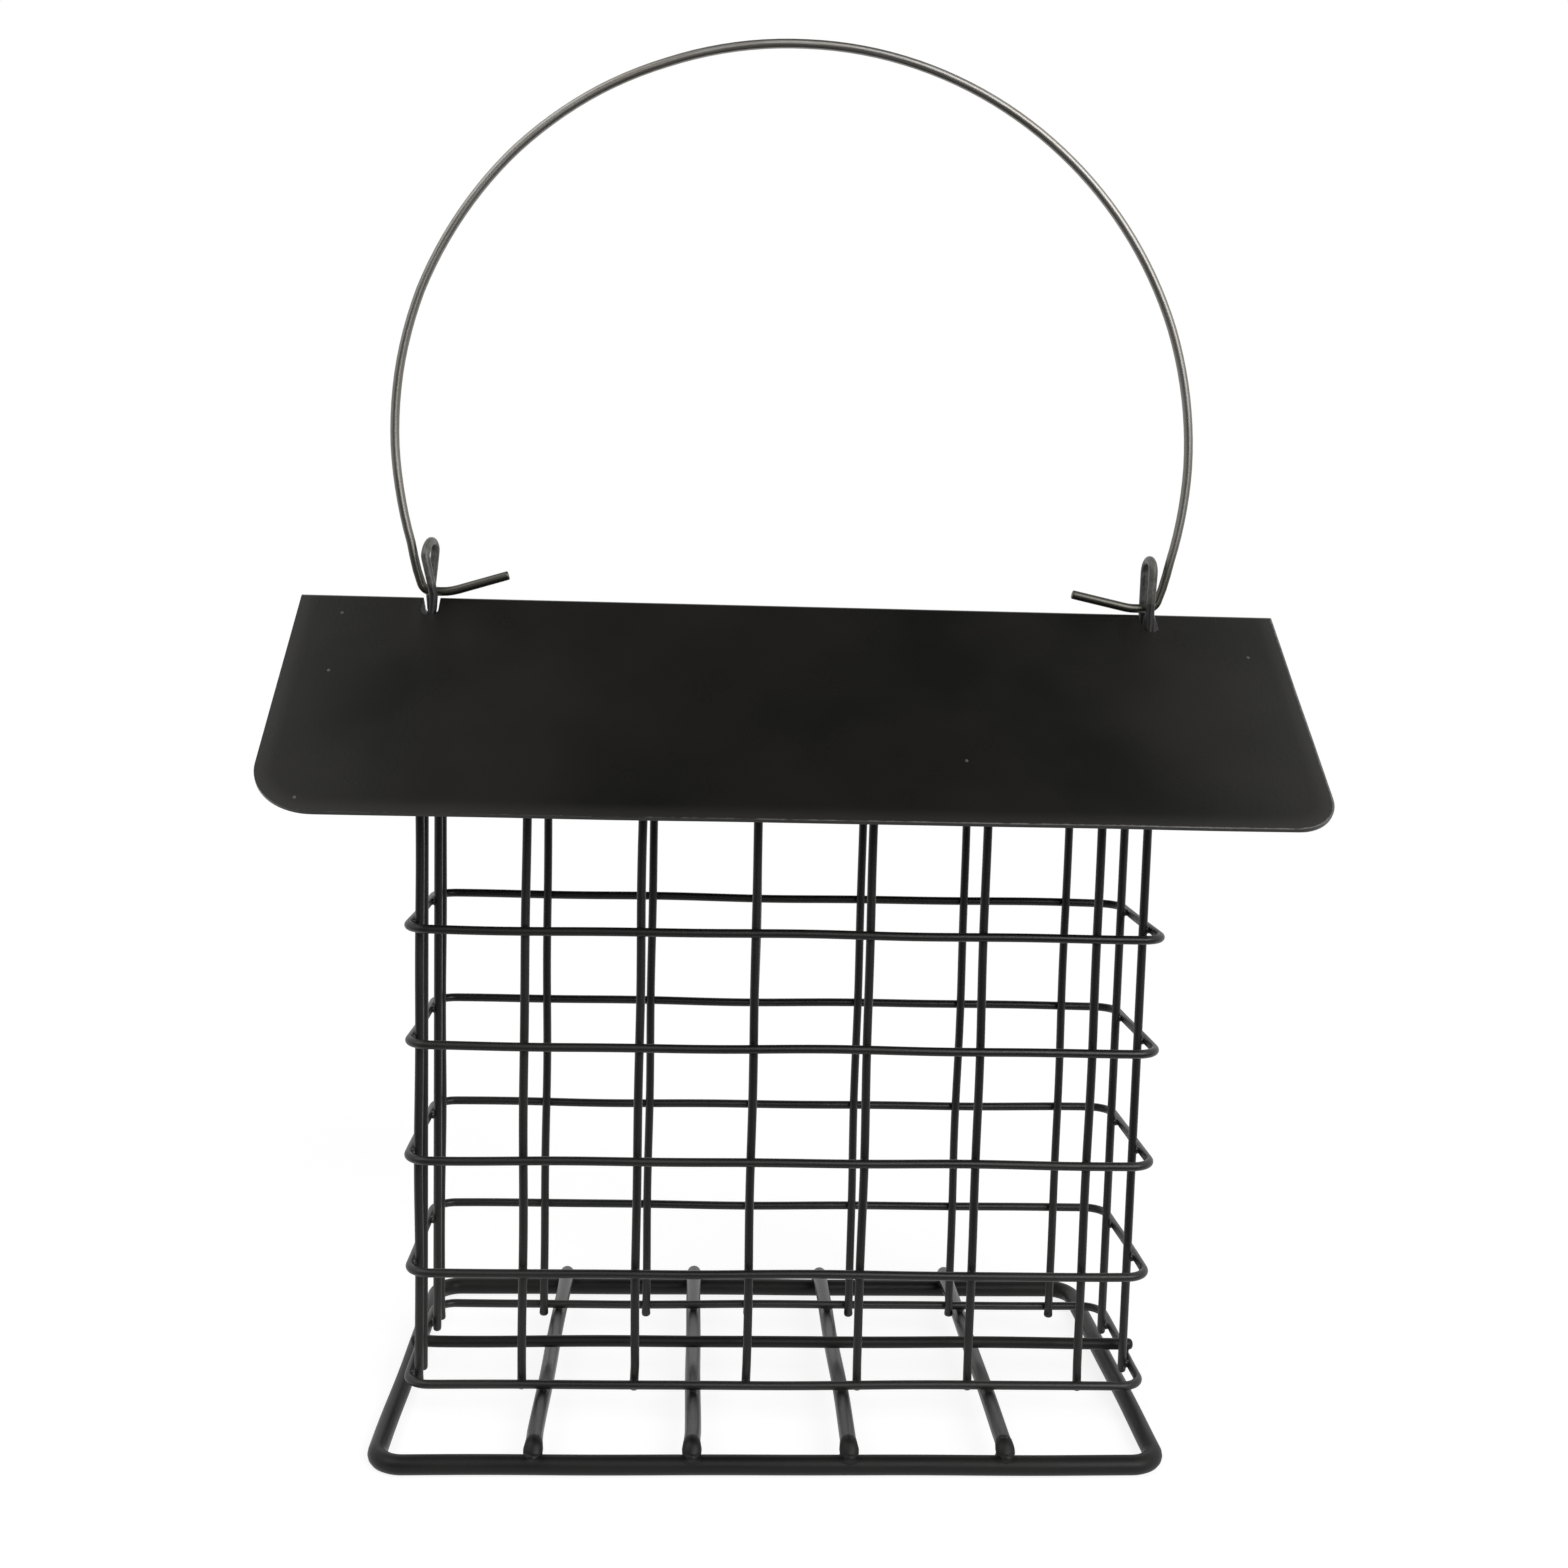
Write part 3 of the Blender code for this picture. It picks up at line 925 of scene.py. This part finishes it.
# %% [markdown]
# The roof is one flat blank, punched and then folded, and it is made the same way here.
# The blank is a grid of rows that run along the ridge. They are close together where the
# fold and the corners will be, and each row ends where the outline does, so the corners
# come out round. The photographed front left corner is rounder than the right one, and
# so is this one.

# %% Rows of the blank
SHEET = 0.8 * MM
SLOPE_LENGTH = 67.5 * MM
ROOF_PITCH = math.radians(38)
FOLD_RADIUS = 1.4 * MM
EAVE_CORNER = 9.0 * MM
ROUNDER_CORNER = 13.5 * MM
CORNER_STEPS = 18
FOLD_STEPS = 5
SLOPE_STEP = 3.0 * MM

roof_half_length = span("roof").x / 2
fold_half = FOLD_RADIUS * ROOF_PITCH


def corner_radius(x, along):
    """The corner radius of the blank's quarter that a place lies in."""
    return ROUNDER_CORNER if x < 0 and along < 0 else EAVE_CORNER


def row_end(side, along):
    """Where a row of the blank ends on the left (-1) or the right (1)."""
    radius = corner_radius(side, along)
    into = min(max(abs(along) - (SLOPE_LENGTH - radius), 0), radius)
    return side * (roof_half_length - radius + math.sqrt(radius * radius - into * into))


def slope_places():
    """Distances from the ridge line of the rows across one slope."""
    places = [fold_half * i / FOLD_STEPS for i in range(FOLD_STEPS + 1)]
    corner_start = SLOPE_LENGTH - ROUNDER_CORNER
    pieces = round((corner_start - fold_half) / SLOPE_STEP)
    places += [fold_half + (corner_start - fold_half) * i / pieces for i in range(1, pieces + 1)]
    angles = [math.pi / 2 * i / CORNER_STEPS for i in range(1, CORNER_STEPS + 1)]
    return places + [corner_start + ROUNDER_CORNER * math.sin(a) for a in angles]


print("rows on one slope:", len(slope_places()))

# %% [markdown]
# The blank itself is a single layer of faces. It gets its thickness after that, because
# a modifier can thicken a sheet evenly.

# %% The flat blank
def flat_blank():
    """The blank as a single layer of faces, with X along the ridge and Y down the slopes."""
    slope = slope_places()
    columns = round(2 * roof_half_length / SLOPE_STEP)
    mesh = bmesh.new()
    lines = []
    for along in [-a for a in slope[:0:-1]] + slope:
        left, right = row_end(-1, along), row_end(1, along)
        row = [left + (right - left) * i / columns for i in range(columns + 1)]
        lines.append([mesh.verts.new((x, along, 0)) for x in row])
    for here, there in zip(lines, lines[1:]):
        for corners in zip(here, here[1:], there[1:], there):
            mesh.faces.new(corners)
    return object_from("roof_sheet", mesh)


roof = flat_blank()
print("blank:", len(roof.data.polygons), "faces; eave to eave, mm:", in_mm(2 * SLOPE_LENGTH))

# %% [markdown]
# A slot for each hanger is punched while the sheet is flat. The punch is a round-ended
# prism that goes right through. It is made as an outline of points that is extruded.

# %% The punch
SLOT_WIDTH = 3.8 * MM
SLOT_HALF_LENGTH = 5.1 * MM
PUNCH_REACH = 5.0 * MM
SLOT_END_STEPS = 10


def slot_cutter(x):
    """A round-ended prism that is longer than the slot is in plan, as the sheet slopes."""
    radius = SLOT_WIDTH / 2
    offset = SLOT_HALF_LENGTH / math.cos(ROOF_PITCH) - radius
    mesh = bmesh.new()
    base = []
    for side in (1, -1):
        for i in range(SLOT_END_STEPS + 1):
            angle = math.pi * i / SLOT_END_STEPS
            px = x + side * radius * math.cos(angle)
            py = side * (offset + radius * math.sin(angle))
            base.append(mesh.verts.new((px, py, -PUNCH_REACH)))
    lifted = bmesh.ops.extrude_face_region(mesh, geom=[mesh.faces.new(base)])
    moved = [v for v in lifted["geom"] if isinstance(v, bmesh.types.BMVert)]
    bmesh.ops.translate(mesh, verts=moved, vec=(0, 0, 2 * PUNCH_REACH))
    bmesh.ops.recalc_face_normals(mesh, faces=mesh.faces)
    return object_from("slot_cutter", mesh)


cutters = [slot_cutter(middle(hanger).x) for hanger in HANGERS]
print("punches:", len(cutters), "of width, mm:", in_mm(SLOT_WIDTH))

# %% [markdown]
# Three modifiers do the work: Solidify thickens the sheet, a Boolean takes each prism
# away, and a Bevel rounds all the cut edges, which is what a punch and a coat of paint
# leave. They are then applied, because the fold needs to move the real points.

# %% Thicken, punch and round the edges
CUT_EDGE = 0.24 * MM
CUT_EDGE_STEPS = 3
SHARPEST_KEPT = math.radians(60)


def apply_modifiers(item):
    """Replaces an object's mesh by what its modifiers make of it."""
    evaluated = item.evaluated_get(bpy.context.evaluated_depsgraph_get())
    data = bpy.data.meshes.new_from_object(evaluated)
    item.modifiers.clear()
    item.data = data


thickness = roof.modifiers.new("thickness", "SOLIDIFY")
thickness.thickness = SHEET
thickness.offset = -1
for cutter in cutters:
    punch = roof.modifiers.new("punch", "BOOLEAN")
    punch.operation = "DIFFERENCE"
    punch.object = cutter
edges = roof.modifiers.new("edges", "BEVEL")
edges.width = CUT_EDGE
edges.segments = CUT_EDGE_STEPS
edges.limit_method = "ANGLE"
edges.angle_limit = SHARPEST_KEPT
apply_modifiers(roof)
for cutter in cutters:
    bpy.data.objects.remove(cutter, do_unlink=True)
print("punched blank:", len(roof.data.vertices), "points")

# %% [markdown]
# Folding is a mapping: a point's distance from the ridge line says how far round the
# bend it goes, and its depth in the sheet says how far inside the outer face it lies.
# Thin sheet is never quite flat, so slow waves press it in by up to a fifth of a
# millimetre, and not at all at the stiff fold. Each wave has a length along the ridge
# and one down the slope, both in metres, and a start. How far each point of the flat
# blank lies from its outline is kept for the paint.

# %% Fold the roof
SAG = 0.22 * MM
SAG_WAVES = ((0.13, 0.047, 0.4), (0.062, 0.09, 2.1), (0.041, 0.033, 4.4))
STIFF_LENGTH = SLOPE_LENGTH / 3


def sag(x, along):
    """How far the sheet is pressed in at a place on the blank."""
    total = 0
    for wave_x, wave_y, start in SAG_WAVES:
        across = math.sin(2 * math.pi * x / wave_x + start)
        total += across * math.cos(2 * math.pi * along / wave_y + start)
    loose = part_way((abs(along) - fold_half) / STIFF_LENGTH)
    return SAG * (0.5 + total / len(SAG_WAVES) / 2) * loose


def folded(place):
    """Where a point of the flat blank goes when the roof is folded."""
    x, along, depth = place
    side = math.copysign(1, along)
    angle = min(abs(along), fold_half) / FOLD_RADIUS
    straight = max(abs(along) - fold_half, 0)
    inward = depth - sag(x, along)
    cos, sin = math.cos(angle), math.sin(angle)
    y = FOLD_RADIUS * sin + straight * cos + inward * sin
    z = FOLD_RADIUS * (cos - 1) - straight * sin + inward * cos
    return Vector((x, side * y, ridge_z + z))


def inside_outline(place):
    """How far inside the blank's outline a flat place lies."""
    radius = corner_radius(place.x, place.y)
    beyond_x = abs(place.x) - (roof_half_length - radius)
    beyond_y = abs(place.y) - (SLOPE_LENGTH - radius)
    if beyond_x > 0 and beyond_y > 0:
        return radius - math.hypot(beyond_x, beyond_y)
    return radius - max(beyond_x, beyond_y)


keep_values(roof, "to_edge", inside_outline)
for vertex in roof.data.vertices:
    vertex.co = folded(vertex.co)
roof.data.shade_smooth()
roof.modifiers.new("smooth", "WEIGHTED_NORMAL")
print("folded roof, mm:", in_mm(*roof.dimensions))

# %% [markdown]
# The roof's paint is a warmer and smoother black than the wires' coat. Within a few
# millimetres of the cut edges it is a paler black. Along the top rim of the edges a lighter
# line is part paint rubbed nearly through and part painted highlight, stronger towards the
# right, where the light falls. The distance kept with the blank's points drives both.

# %% Roof paint
ROOF_BLACK = (0.0058, 0.0065, 0.0050, 1)
ROOF_WARM = (0.0098, 0.0080, 0.0068, 1)
ROOF_PALE_NEAR_EDGE = (0.0215, 0.0207, 0.0190, 1)
# The lighter edge colour stands for paint rubbed nearly through and for a painted highlight on the
# rim.
ROOF_EDGE_WEAR_AND_HIGHLIGHT = (0.150, 0.146, 0.138, 1)
EDGE_LINE = 0.8 * MM
CUT_FACE = (0.04 * MM, 0.16 * MM)
EDGE_HAZE = 4.5 * MM
LINE_FADES = (-70 * MM, 60 * MM)
LINE_SHARES = (0.35, 1.0)
DUST = (0.085, 0.083, 0.078, 1)
ROOF_GLOSS = 0.34
ROOF_ROUGHNESS = (0.25, 0.31)
ROOF_SCALES = {"Peel_Scale": 1400, "Patch_Scale": 26}
ROOF_PEEL = 0.012 * MM


def by_edge(tree, reach):
    """A smooth step of the distance inside the outline."""
    return rise(tree, kept_value(tree, "to_edge"), reach)


def edge_wear_and_highlight(tree, position):
    """The wear and painted highlight along the edges, stronger to the right and not on the cut
    face.
    """
    along = add_node(tree, "ShaderNodeSeparateXYZ", i0=position).outputs["X"]
    share = mix_numbers(tree, rise(tree, along, LINE_FADES), *LINE_SHARES)
    rim = calculate(tree, "MULTIPLY", by_edge(tree, (EDGE_LINE, 0)), by_edge(tree, CUT_FACE))
    return calculate(tree, "MULTIPLY", rim, share)


def make_roof_paint():
    """The roof's paint, paler near its edges, with wear and a painted highlight along them, and
    specks of dust.
    """
    material, tree, shader, position = new_material("roof_paint", Specular_IOR_Level=ROOF_GLOSS)
    skin = place_group(tree, coating_skin, Position=position, **ROOF_SCALES).outputs
    worn_and_lit_edge = place_group(tree, wear_and_sheen_mask, Position=position, Rub=edge_wear_and_highlight(tree, position))
    specks = place_group(tree, dust_specks, Position=position)
    colour = mix_colours(tree, skin["Patches"], ROOF_BLACK, ROOF_WARM)
    colour = mix_colours(tree, by_edge(tree, (EDGE_HAZE, 0)), colour, ROOF_PALE_NEAR_EDGE)
    # Along the edges: rubbed paint and a painted highlight.
    colour = mix_colours(tree, worn_and_lit_edge.outputs["Bare"], colour, ROOF_EDGE_WEAR_AND_HIGHLIGHT)
    colour = mix_colours(tree, specks.outputs["Specks"], colour, DUST)
    roughness = mix_numbers(tree, skin["Patches"], *ROOF_ROUGHNESS)
    link_finish(tree, shader, colour, roughness, skin["Peel"], ROOF_PEEL)
    return material


dress(roof, make_roof_paint(), "roof_coat", "roof", "roof")
print("roof paint on", roof.name)

# %% [markdown]
# The bail is spring wire, left bare and darkened by oil and heat. It was bent by hand,
# so its hoop strays from the circle. A table gives that in millimetres at some angles.
# Between its entries the value is in proportion, which is enough for a slow change.

# %% How far the bail strays
STRAYS = {
    -20: 0, -14: -0.4, -8: -0.25, 0: 0, 20: 0.25, 50: 0, 90: 0, 110: 0.35,
    120: 0.8, 135: 1.25, 158: 1.35, 169: 0.95, 180: 0.35, 187: -0.2, 194: -0.6, 200: 0,
}


def read_off(table, place):
    """The value of a table at a place, in proportion between its entries."""
    return float(np.interp(place, list(table), list(table.values())))


def stray(angle):
    """How far the hoop lies outside the true circle at an angle from the right side."""
    return read_off(STRAYS, math.degrees(angle)) * MM


print("the bail strays most by, mm:", max(STRAYS.values()))

# %% [markdown]
# The bail's route starts at the tip of one hook: a short arm that rises a little, the
# part that lies in the eye, a sharp turn and then most of a circle. Both halves are
# worked out alike and one is turned over. The left arm rises more than the right one.

# %% Bail
HOOK_GAP = 0.40 * MM
HOOK_BEND = 2.5 * MM
FOOT_LEAN = math.radians(20)
ARM_FLAT = 4.0 * MM
ARM_REACH = 13.5 * MM
ARM_RISES = {-1: math.radians(17), 1: math.radians(12)}
ARM_BEND = 12.0 * MM
ARC_STEP = math.radians(2)


def in_plane(angle):
    """A direction in the bail's plane, at an angle from the right."""
    return Vector((math.cos(angle), 0, math.sin(angle)))


def half_bail(side):
    """The left (-1) or right (1) half of the bail's route, from the hook's tip to the crown."""
    eye_x = middle("right_hanger").x
    axis_z = ridge_z + HOOK_GAP + BAIL_WIRE / 2
    lean = math.pi / 2 - FOOT_LEAN
    tangent = HOOK_BEND * math.tan(lean / 2)
    corner = Vector((-eye_x - tangent, 0, axis_z))
    foot = corner + tangent * in_plane(math.pi - lean)
    arm_corner = Vector((ARM_FLAT - eye_x, 0, axis_z))
    tip = arm_corner + ARM_REACH * in_plane(ARM_RISES[side])
    crown_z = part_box("bail")[1].z - BAIL_WIRE / 2
    radius = (crown_z - foot.z) / (1 + math.sin(FOOT_LEAN))
    centre = UPWARDS * (crown_z - radius)
    points = route([tip, arm_corner, corner], ARM_BEND)[:-1]
    points += bend_points(arm_corner, corner, foot, HOOK_BEND)
    sweep = math.pi / 2 + FOOT_LEAN
    steps = math.ceil(sweep / ARC_STEP)
    for angle in [math.pi + FOOT_LEAN - sweep * i / steps for i in range(1, steps + 1)]:
        reach = radius + stray(angle if side < 0 else math.pi - angle)
        points.append(centre + reach * in_plane(angle))
    return [Vector((-side * p.x, p.y, p.z)) for p in points]


whole_bail = half_bail(-1) + half_bail(1)[-2::-1]
points, radii = with_ends(whole_bail, BAIL_WIRE / 2, SHEARED_END_SHARES)
bail = wire_mesh("bail_wire", points, radii, start=(0, 1, 0))
print("bail, mm:", in_mm(*bail.dimensions))

# %% [markdown]
# Drawn wire carries fine lines along its length from the drawing die. On the
# straightened wire those lines are simply stretched noise, and that is why the sweep
# kept each point's straightened place. Slower noise gives the brown heat tints. The
# hooks and the lower sides get painted shade, a darker steel colour for the shade over
# the ridge and for the dark roof that they mirror, fading out up the sides. A table says
# how much painted shade there is at some heights over the ridge.

# %% Bail steel
STEEL_DARK = (0.168, 0.164, 0.157, 1)
STEEL_LIGHT = (0.410, 0.403, 0.388, 1)
STEEL_BROWN = (0.248, 0.224, 0.188, 1)
# Painted shade: the darkest steel colour, laid on the hooks and the lower sides.
STEEL_PAINTED_SHADE = (0.062, 0.061, 0.050, 1)
STEEL_ROUGHNESS = (0.30, 0.48)
PAINTED_SHADE_BY_HEIGHT = {8.0 * MM: 0.85, 16.0 * MM: 0.425, 50.0 * MM: 0.306, 90.0 * MM: 0}
BROWN_SHARE = 0.6
TINT_SCALE = 55
LINE_SCALE = 2600
LINE_STRETCH = (1, 1, 0.03)
LINE_DEPTH = 0.02 * MM


def painted_shade_at(place):
    """How much painted shade the steel gets at a place: fully on the hooks, less up the sides."""
    return read_off(PAINTED_SHADE_BY_HEIGHT, place.z - ridge_z)


def make_bail_steel():
    """Bare steel with lines along the wire, brown tints and painted shade on the hooks."""
    material, tree, shader, _ = new_material("bail_steel_oiled", Metallic=1.0)
    straight = kept_value(tree, "straightened", "Vector")
    settings = {"operation": "MULTIPLY"}
    stretched = add_node(tree, "ShaderNodeVectorMath", settings, i0=straight, i1=LINE_STRETCH)
    noise = {"Vector": stretched.outputs[0], "Scale": LINE_SCALE, "Detail": 3}
    lines = add_node(tree, "ShaderNodeTexNoise", **noise).outputs["Fac"]
    tint = place_group(tree, coating_skin, Position=straight, Patch_Scale=TINT_SCALE)
    brown = calculate(tree, "MULTIPLY", tint.outputs["Patches"], BROWN_SHARE)
    colour = mix_colours(tree, lines, STEEL_DARK, STEEL_LIGHT)
    colour = mix_colours(tree, brown, colour, STEEL_BROWN)
    # Painted shade, darkest on the hooks and fading up the sides.
    colour = mix_colours(tree, kept_value(tree, "rub"), colour, STEEL_PAINTED_SHADE)
    roughness = mix_numbers(tree, lines, *STEEL_ROUGHNESS)
    link_finish(tree, shader, colour, roughness, lines, LINE_DEPTH)
    return material


# Each point of the bail keeps how much painted shade it gets.
keep_values(bail, "rub", painted_shade_at)
dress(bail, make_bail_steel(), "bail_steel", "bail", "bail")
print("bail steel on", bail.name)

# %% [markdown]
# Floor and backdrop should be white for all that looks at them: the camera, and also the
# mirror images in the coat and the steel. A Light Path node tells which rays those are.
# The rays that only carry light from place to place see a plainer, dimmer studio, so
# that the white doesn't flood the feeder with light.

# %% Rays that look
def looking_rays(tree):
    """One for camera, glossy and transmission rays, and nought for all others."""
    rays = add_node(tree, "ShaderNodeLightPath").outputs
    mirrored = calculate(tree, "MAXIMUM", rays["Is Glossy Ray"], rays["Is Transmission Ray"])
    return calculate(tree, "MAXIMUM", rays["Is Camera Ray"], mirrored)


def empty_material(name):
    """A material without any nodes yet, and its node tree."""
    material = bpy.data.materials.new(name)
    material.use_nodes = True
    material.node_tree.nodes.clear()
    return material, material.node_tree


def mix_shaders(tree, amount, first, second):
    """The mix of two shader nodes by an amount."""
    sockets = {"i0": amount, "i1": first.outputs[0], "i2": second.outputs[0]}
    return add_node(tree, "ShaderNodeMixShader", **sockets)


print("white for camera, glossy and transmission rays")

# %% [markdown]
# The floor is a wide pale plane. For the rays that look, it glows and takes the rest of
# its brightness from the light that falls on it, so it is as white as the backdrop and
# still holds the feeder's soft shadow. Further away it is plain white. All other rays see
# plain pale paint.

# %% Floor
FLOOR_HALF = 4.0
FLOOR_PAINT = (0.55, 0.55, 0.545, 1)
FLOOR_GLOW = 0.84
FLOOR_SHADED = (0.28, 0.28, 0.28, 1)
SHADOW_REACH = (0.22, 0.60)


def make_floor_material():
    """White where it is only seen, with the feeder's shadow, and pale paint for light."""
    material, tree = empty_material("pale_floor")
    paint = add_node(tree, "ShaderNodeBsdfDiffuse", Color=FLOOR_PAINT)
    glow = add_node(tree, "ShaderNodeEmission", Strength=FLOOR_GLOW)
    shaded = add_node(tree, "ShaderNodeBsdfDiffuse", Color=FLOOR_SHADED)
    near = add_node(tree, "ShaderNodeAddShader", i0=glow.outputs[0], i1=shaded.outputs[0])
    place = add_node(tree, "ShaderNodeTexCoord").outputs["Object"]
    length = add_node(tree, "ShaderNodeVectorMath", {"operation": "LENGTH"}, i0=place)
    away = rise(tree, length.outputs["Value"], SHADOW_REACH)
    white = add_node(tree, "ShaderNodeEmission", Strength=1.0)
    seen = mix_shaders(tree, away, near, white)
    floor = mix_shaders(tree, looking_rays(tree), paint, seen)
    add_node(tree, "ShaderNodeOutputMaterial", Surface=floor.outputs[0])
    return material


def stage_sheet(name, corners, faces, material):
    """A sheet of the studio, which isn't part of the feeder."""
    data = bpy.data.meshes.new(name)
    data.from_pydata(corners, [], faces)
    data.materials.append(material)
    sheet = add_object(name, data)
    return sheet


floor_corners = [(x * FLOOR_HALF, y * FLOOR_HALF, 0) for x, y in SQUARE]
floor = stage_sheet("studio_floor", floor_corners, [(0, 1, 2, 3)], make_floor_material())
print("floor, m:", *floor.dimensions)

# %% [markdown]
# The world is the backdrop: white to look at, and an even soft light for the rest.

# %% World
STUDIO_LIGHT = 0.36


def make_world():
    """An even backdrop: white to look at, dimmer for the rays that carry light."""
    world = bpy.data.worlds.new("studio")
    world.use_nodes = True
    tree = world.node_tree
    background = tree.nodes["Background"]
    background.inputs["Color"].default_value = (1, 1, 1, 1)
    strength = mix_numbers(tree, looking_rays(tree), STUDIO_LIGHT, 1.0)
    tree.links.new(strength, background.inputs["Strength"])
    return world


bpy.context.scene.world = make_world()
print("world:", bpy.context.scene.world.name)

# %% [markdown]
# Glossy black takes nearly all its tone from what it mirrors, and in a white room it
# would look grey. A photographer hangs dark cloths where the camera can't see them but
# the object can. One strip hangs over the feeder and keeps the middle of the roof dark.
# One lies just above the floor in front and rises behind the camera, and keeps the wires
# dark. Along each axis a fade says where a cloth is gone and where it is full, because a
# cloth is out of focus in a satin mirror. The cloths show in mirror images only, so they
# take no light away.

# %% Dark cloths
STRIP_TONE = 0.03
STRIP_HEIGHT = 1.6
STRIP_MIDDLE = 0.08
STRIP_FADES = {"X": (0.66, 0.38), "Y": (1.20, 0.70)}
CLOTH_TONE = 0.17
CLOTH_REACH = 2.5
CLOTH_FADES = {"X": (3.4, 2.0), "Y": (0.05, 0.11), "Z": (3.2, 2.0)}


def cloth_material(name, tone, fades):
    """Dark cloth that fades along each named axis between two distances."""
    material, tree = empty_material(name)
    place = add_node(tree, "ShaderNodeTexCoord").outputs["Object"]
    axes = add_node(tree, "ShaderNodeSeparateXYZ", i0=place).outputs
    cover = 1.0
    for axis, reach in fades.items():
        away = calculate(tree, "ABSOLUTE", axes[axis])
        cover = calculate(tree, "MULTIPLY", cover, rise(tree, away, reach))
    clear = add_node(tree, "ShaderNodeBsdfTransparent")
    cloth = mix_shaders(tree, cover, clear, add_node(tree, "ShaderNodeEmission", Strength=tone))
    add_node(tree, "ShaderNodeOutputMaterial", Surface=cloth.outputs[0])
    return material


def hang_cloth(name, profile, middle_x, tone, fades):
    """A sheet with a profile in depth and height, shown in mirror images only."""
    half_width = fades["X"][0]
    corners = [(x, y, z) for y, z in profile for x in (-half_width, half_width)]
    faces = [(i, i + 1, i + 3, i + 2) for i in range(0, len(corners) - 2, 2)]
    cloth = stage_sheet(name, corners, faces, cloth_material(name, tone, fades))
    cloth.location.x = middle_x
    for kind in ("camera", "diffuse", "shadow", "transmission"):
        setattr(cloth, "visible_" + kind, False)
    print(name, "hangs up to a height of", profile[-1][1], "m")


strip_end = STRIP_FADES["Y"][0]
strip_profile = [(-strip_end, STRIP_HEIGHT), (strip_end, STRIP_HEIGHT)]
hang_cloth("ceiling_cloth", strip_profile, STRIP_MIDDLE, STRIP_TONE, STRIP_FADES)
cloth_start, cloth_top = CLOTH_FADES["Y"][0], CLOTH_FADES["Z"][0]
cloth_profile = [(-cloth_start, MM), (-CLOTH_REACH, MM), (-CLOTH_REACH, cloth_top)]
hang_cloth("front_cloth", cloth_profile, 0, CLOTH_TONE, CLOTH_FADES)

# %% [markdown]
# The pale studio gives well over a third of the light. Two large soft lamps give the
# rest: a key from the upper left, and a fill that stands in front, a little to the right,
# and draws a faint light line along the right half of each ring.

# %% Lamps
FEEDER_MIDDLE = Vector((0, 0, 0.15))


def add_lamp(name, place, size, power):
    """A square soft lamp that looks at the feeder."""
    lamp = bpy.data.lights.new(name, "AREA")
    lamp.shape = "SQUARE"
    lamp.size = size
    lamp.energy = power
    item = add_object(name, lamp)
    item.location = place
    item.rotation_euler = (FEEDER_MIDDLE - item.location).to_track_quat("-Z", "Y").to_euler()
    print(name, "of", power, "W")


add_lamp("key_lamp", place=(-1.2, -0.9, 2.0), size=1.6, power=12)
add_lamp("fill_lamp", place=(0.85, -1.5, 1.0), size=1.2, power=24)

# %% [markdown]
# The camera stands where the photographer's did, a little to the left of the middle and
# above the roof, tilted down and rolled slightly. Its three turns make a rotation
# matrix directly: right, up and backwards are its columns.

# %% Camera
CAMERA_PLACE = Vector((-0.0205, -0.3949, 0.1865))
CAMERA_YAW = math.radians(2.830)
CAMERA_PITCH = math.radians(6.495)
CAMERA_ROLL = math.radians(1.430)
CAMERA_LENS = 40.18
SENSOR_WIDTH = 36
NEAREST_SEEN = 10 * MM


def add_camera():
    """The camera, turned by its yaw, its pitch and its roll."""
    level = Vector((math.sin(CAMERA_YAW), math.cos(CAMERA_YAW), 0))
    ahead = level * math.cos(CAMERA_PITCH) - UPWARDS * math.sin(CAMERA_PITCH)
    right = Vector((math.cos(CAMERA_YAW), -math.sin(CAMERA_YAW), 0))
    up = right.cross(ahead)
    rolled_right = right * math.cos(CAMERA_ROLL) + up * math.sin(CAMERA_ROLL)
    rolled_up = up * math.cos(CAMERA_ROLL) - right * math.sin(CAMERA_ROLL)
    data = bpy.data.cameras.new("camera")
    data.lens = CAMERA_LENS
    data.sensor_width = SENSOR_WIDTH
    data.clip_start = NEAREST_SEEN
    camera = add_object("camera", data)
    turn = Matrix((rolled_right, rolled_up, -ahead)).transposed()
    camera.matrix_world = Matrix.Translation(CAMERA_PLACE) @ turn.to_4x4()
    return camera


bpy.context.scene.camera = add_camera()
bpy.context.scene.view_settings.view_transform = "Standard"
print("camera, mm:", in_mm(*bpy.context.scene.camera.location))
